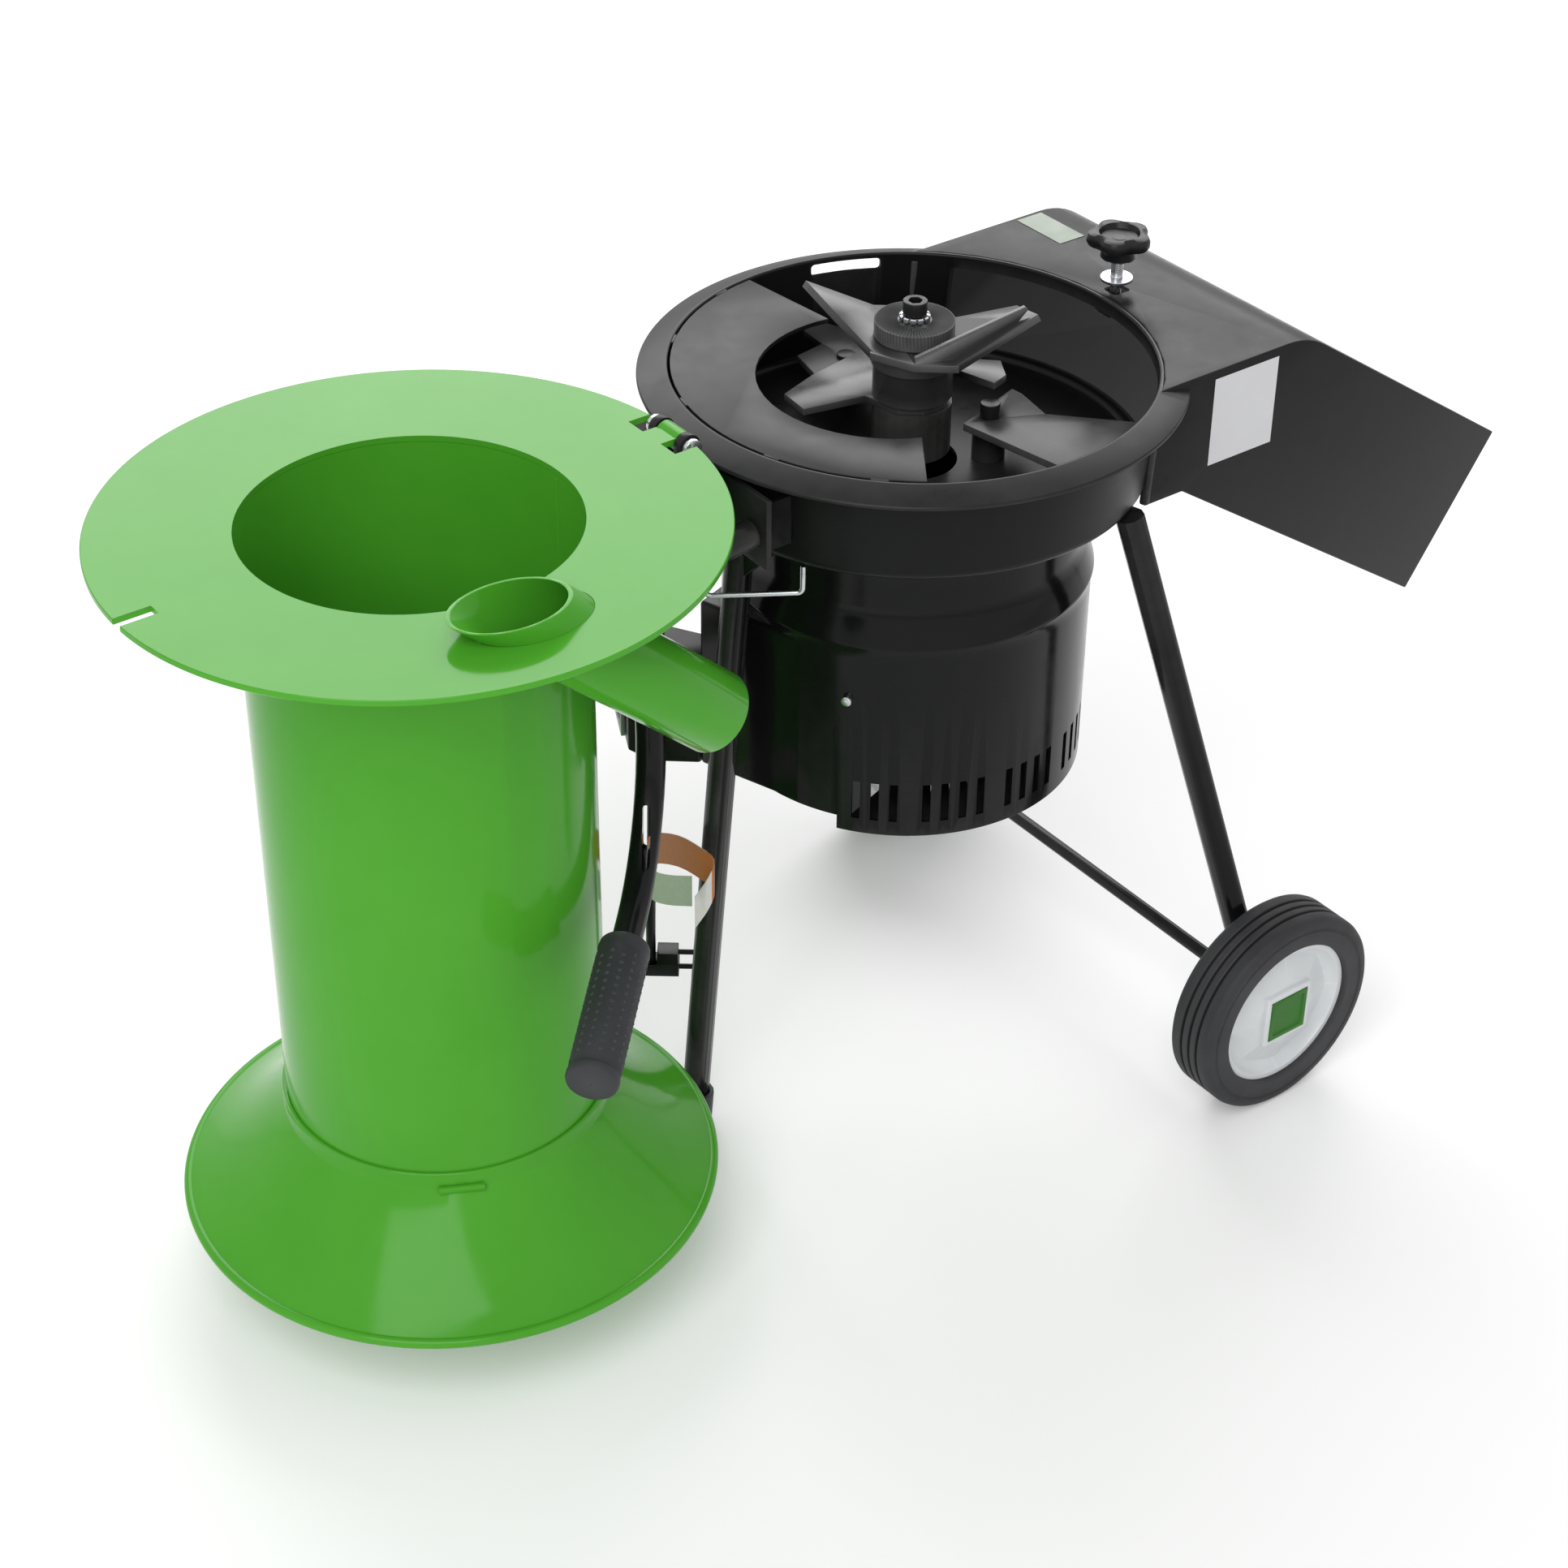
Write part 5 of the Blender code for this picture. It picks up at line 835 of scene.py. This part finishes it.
# %% [markdown]
# ## Legs, handles and grips
# The frame is round steel tube, bent cold. A tube is a round section drawn along a line, so each
# handle is a curve with a bevel, whose corners are true arcs, turned into a mesh for its slot.
# The grips are rubber sleeves with staggered rows of small knurls. The straight legs, the axle
# and the bent cord hook are copied from the engineer.

# %% Lines with true bends
def bend_line(points, radii, turns=10):
    """Points in mm with each inner corner rounded to its own radius."""
    way = [points[0]]
    for before, corner, after, radius in zip(points, points[1:], points[2:], radii):
        back = (before - corner).normalized()
        onward = (after - corner).normalized()
        half_angle = back.angle(onward) / 2
        middle = corner + (back + onward).normalized() * (radius / math.sin(half_angle))
        arm = corner + back * (radius / math.tan(half_angle)) - middle
        axis = arm.cross(corner + onward * (radius / math.tan(half_angle)) - middle)
        for step in range(turns + 1):
            swing = Matrix.Rotation((math.pi - 2 * half_angle) * step / turns, 3, axis)
            way.append(middle + swing @ arm)
    return way + [points[-1]]


def tube_along(name, points, radius):
    """A round bar drawn along points in mm and turned into a mesh."""
    pick(draw_line(name, points, radius, 8))
    bpy.ops.object.convert(target="MESH")
    return weld(bpy.context.object)


# %% Handles and grips
FRAME_TUBE = 9.5
KNURL_ROWS, KNURLS_IN_ROW, KNURL_STEP = 14, 13, 6.1
handle_top = Vector((-171.2, 58, DRUM_TOP - 42))
knee = handle_top + Vector((-76.8, 0, -6))
elbow = handle_top + Vector((-76.8, 0, -194.3))
tip = handle_top + Vector((-215, 135.9, -234.3))
slot_spot = handle_top + Vector((-89.1, 12.2, -173.8))
sleeve = [(13.5, 0), (15.6, 1.0), (16.5, 3), (16.5, 6), (15.2, 7.5), (15.2, 9.5), (16.2, 11)]
sleeve += [(16.2, 96), (15.6, 100), (16.4, 103), (15.8, 107), (13.5, 108), (9.8, 108), (9.8, 4.2)]
sleeve += [(0.4, 4.2), (0.4, 0)]
for side, word in ((-1, "right"), (1, "left")):
    corners = [Vector((p.x, side * p.y, p.z)) for p in (handle_top, knee, elbow, tip)]
    handle = tube_along("handle_tube_" + word, bend_line(corners, (24, 90)), FRAME_TUBE)
    hole = brick("handle_slot", (70, 5, 31), (slot_spot.x, side * slot_spot.y, slot_spot.z),
                 -side * math.radians(53))
    modify(hole, "BEVEL", width=1.8 * MM, segments=2)
    carve(handle, hole)
    settle(handle, "base", ["handle_" + word], black_gloss)
    back = (corners[2] - corners[3]).normalized()
    end = corners[3] - back * 4
    along_bar = back.to_track_quat("Z", "Y").to_matrix().to_4x4()
    grip = raise_rings("grip_sleeve_" + word, sleeve, sides=64)
    knurls = []
    for row in range(KNURL_ROWS):
        a = math.tau * row / KNURL_ROWS
        for number in range(KNURLS_IN_ROW):
            height = 15.5 + (number + (row % 2) / 2) * KNURL_STEP
            place = spot(14.8 * math.cos(a), 14.8 * math.sin(a), height)
            clear_picks()
            bpy.ops.mesh.primitive_ico_sphere_add(subdivisions=1, radius=2.3 * MM, location=place)
            knurls.append(bpy.context.object)
    join_all([grip] + knurls)
    grip.matrix_world = (Matrix.Translation(spot(*end)) @ along_bar
                         @ Matrix.Translation(-spot(0, 0, 0)) @ grip.matrix_world)
    settle(grip, "base", ["grip_" + word], grip_rubber, 40)

# %% Legs, foot, axle and cord hook
for node in ("front_leg", "rear_leg_left", "rear_leg_right"):
    settle(round_edges(copy_of(node), 0.4, 1, 50), "base", [node], black_gloss, 40)
foot = round_edges(copy_of("front_foot"), 1.5, 2)
settle(foot, "base", ["front_foot"], grip_rubber, 40)
axle = round_edges(copy_of("axle"), 0.6, 2)
settle(axle, "base", ["axle"], black_gloss, 40)
hook = round_edges(copy_of("cord_hook"), 0.2, 1)
settle(hook, "base", ["cord_hook"], zinc, 60)
print("handles end at", [round(c, 1) for c in tip])

# %% [markdown]
# ## Clamp, hinge and switch
# The swing bolt is a bright threaded stud with a loose washer and a moulded knob with five
# shallow lobes and a dished top. The knob is raised in rings, and its outer points are then
# pulled in between the lobes. The thread is a stack of fine grooves joined to the stud.

# %% Knob, washer and stud
CLAMP_X = 173
LOBES, LOBE_DEPTH = 5, 0.17
knob_low = DRUM_TOP + 24
lobes = raise_rings("knob_lobes", [(11, knob_low), (12, knob_low + 1), (11.4, knob_low + 6.5),
                                   (16, knob_low + 8.2), (20.6, knob_low + 9.6),
                                   (22, knob_low + 12), (22, knob_low + 15.6),
                                   (20.8, knob_low + 17.8), (17.4, knob_low + 19),
                                   (14, knob_low + 18.4), (12, knob_low + 15.2),
                                   (5.3, knob_low + 14.4), (4.3, knob_low + 14.4), (4.3, knob_low)],
                    centre=(CLAMP_X, 0), sides=120)
for vertex in lobes.data.vertices:
    spoke = vertex.co.xy
    reach = spoke.length
    if reach > 0.0125:
        wave = 0.5 - 0.5 * math.cos(LOBES * math.atan2(spoke.y, spoke.x))
        vertex.co.xy = spoke * (1 - LOBE_DEPTH * wave ** 1.3 * min(1, (reach - 0.0125) / 0.006))
dish = bar("knob_dish", 4.6, (CLAMP_X, 0, knob_low + 11), (CLAMP_X, 0, knob_low + 14.6), 32)
carve(lobes, dish, operation="UNION")
settle(lobes, "clamp_nut", ["clamp_knob"], black_plastic, 40)
washer_low = DRUM_TOP + 8
washer = raise_rings("washer_turned", [(11, washer_low + 1.7), (11, washer_low + 0.3),
                                       (10.7, washer_low), (4.3, washer_low),
                                       (4.3, washer_low + 2), (10.7, washer_low + 2)],
                     centre=(CLAMP_X, 0), sides=64)
settle(washer, "clamp_bolt", ["clamp_washer"], zinc)
PITCH = 1
stud = round_edges(copy_of("swing_bolt", "swing_bolt_turned"), 0.3, 2)
thread_low = DRUM_TOP + 11
turns = math.ceil((knob_low + 2 - thread_low) / PITCH)
grooves = []
for number in range(turns):
    grooves += [(4.15, thread_low + number * PITCH), (3.7, thread_low + (number + 0.5) * PITCH)]
grooves += [(3.2, thread_low + turns * PITCH), (3.2, thread_low)]
thread = raise_rings("thread", grooves, centre=(CLAMP_X, 0), sides=32)
join_all([stud, thread])
settle(stud, "clamp_bolt", ["swing_bolt"], zinc)

# %% Hinge, brackets, switch and the rest of the visible hardware
for node, paint, slot, width in (("hinge_bracket", black_paint, "black_steel", 0.8),
                                 ("hinge_pin", zinc, "zinc", 0.5),
                                 ("clamp_bracket", black_paint, "black_steel", 0.4),
                                 ("clamp_pin", zinc, "zinc", 0.2),
                                 ("switch_box", black_paint, "black_steel", 1.4),
                                 ("switch_bezel", grey_plastic, "grey_plastic", 0.6)):
    settle(round_edges(copy_of(node), width, 2), "base", [node], paint)
rocker = round_edges(copy_of("switch_rocker"), 0.8, 3)
settle(rocker, "rocker", ["switch_rocker"], red_plastic)

# %% [markdown]
# ## Blank stickers and small marks
# Two stickers stay blank: a white one on the hood's near side and a pale green one on the hood's
# top. Each is a thin plate with eased edges, lying a hair above the paint. One screw's head
# shows on the motor's cover.

# %% Stickers and the cover's screw
def sticker(name, size, middle, paint):
    """A thin blank plate with its edges eased."""
    sheet = brick(name, size, middle)
    modify(sheet, "BEVEL", width=0.1 * MM, segments=1)
    return settle(sheet, "base", [], paint)


sticker("near_sticker", (56, 0.3, 63), (176, -125.2, DRUM_TOP - 37.5), white_label)
sticker("far_sticker", (22, 46, 0.3), (200, 98, DRUM_TOP + 0.2), green_label)
screw = bar("cover_screw", 3.6, (-101, -68.6, 368), (-105, -71.4, 368), 24)
round_edges(screw, 0.8, 2)
settle(screw, "base", [], zinc)
print("knob stands at", knob_low)

# %% [markdown]
# ## Pieces inside the machine
# The motor, its bearings and the plates that close it keep the engineer's shape, because none
# of them is seen in the photograph. Each gets its real finish.

# %% Finishes for the inner pieces
inner_finish = {"base_plate": black_paint, "rotor_hub": black_paint, "motor_shaft": zinc,
                "motor_stator": copper, "rotor_core": iron, "upper_bearing": iron,
                "lower_bearing": iron, "upper_end_shield": cast, "lower_end_shield": cast,
                "cooling_fan": black_plastic, "run_capacitor": black_plastic}
for name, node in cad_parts.items():
    if not node.hide_render:
        node.data.materials.clear()
        node.data.materials.append(inner_finish.get(name, black_paint))
        print("kept from the engineer:", name)
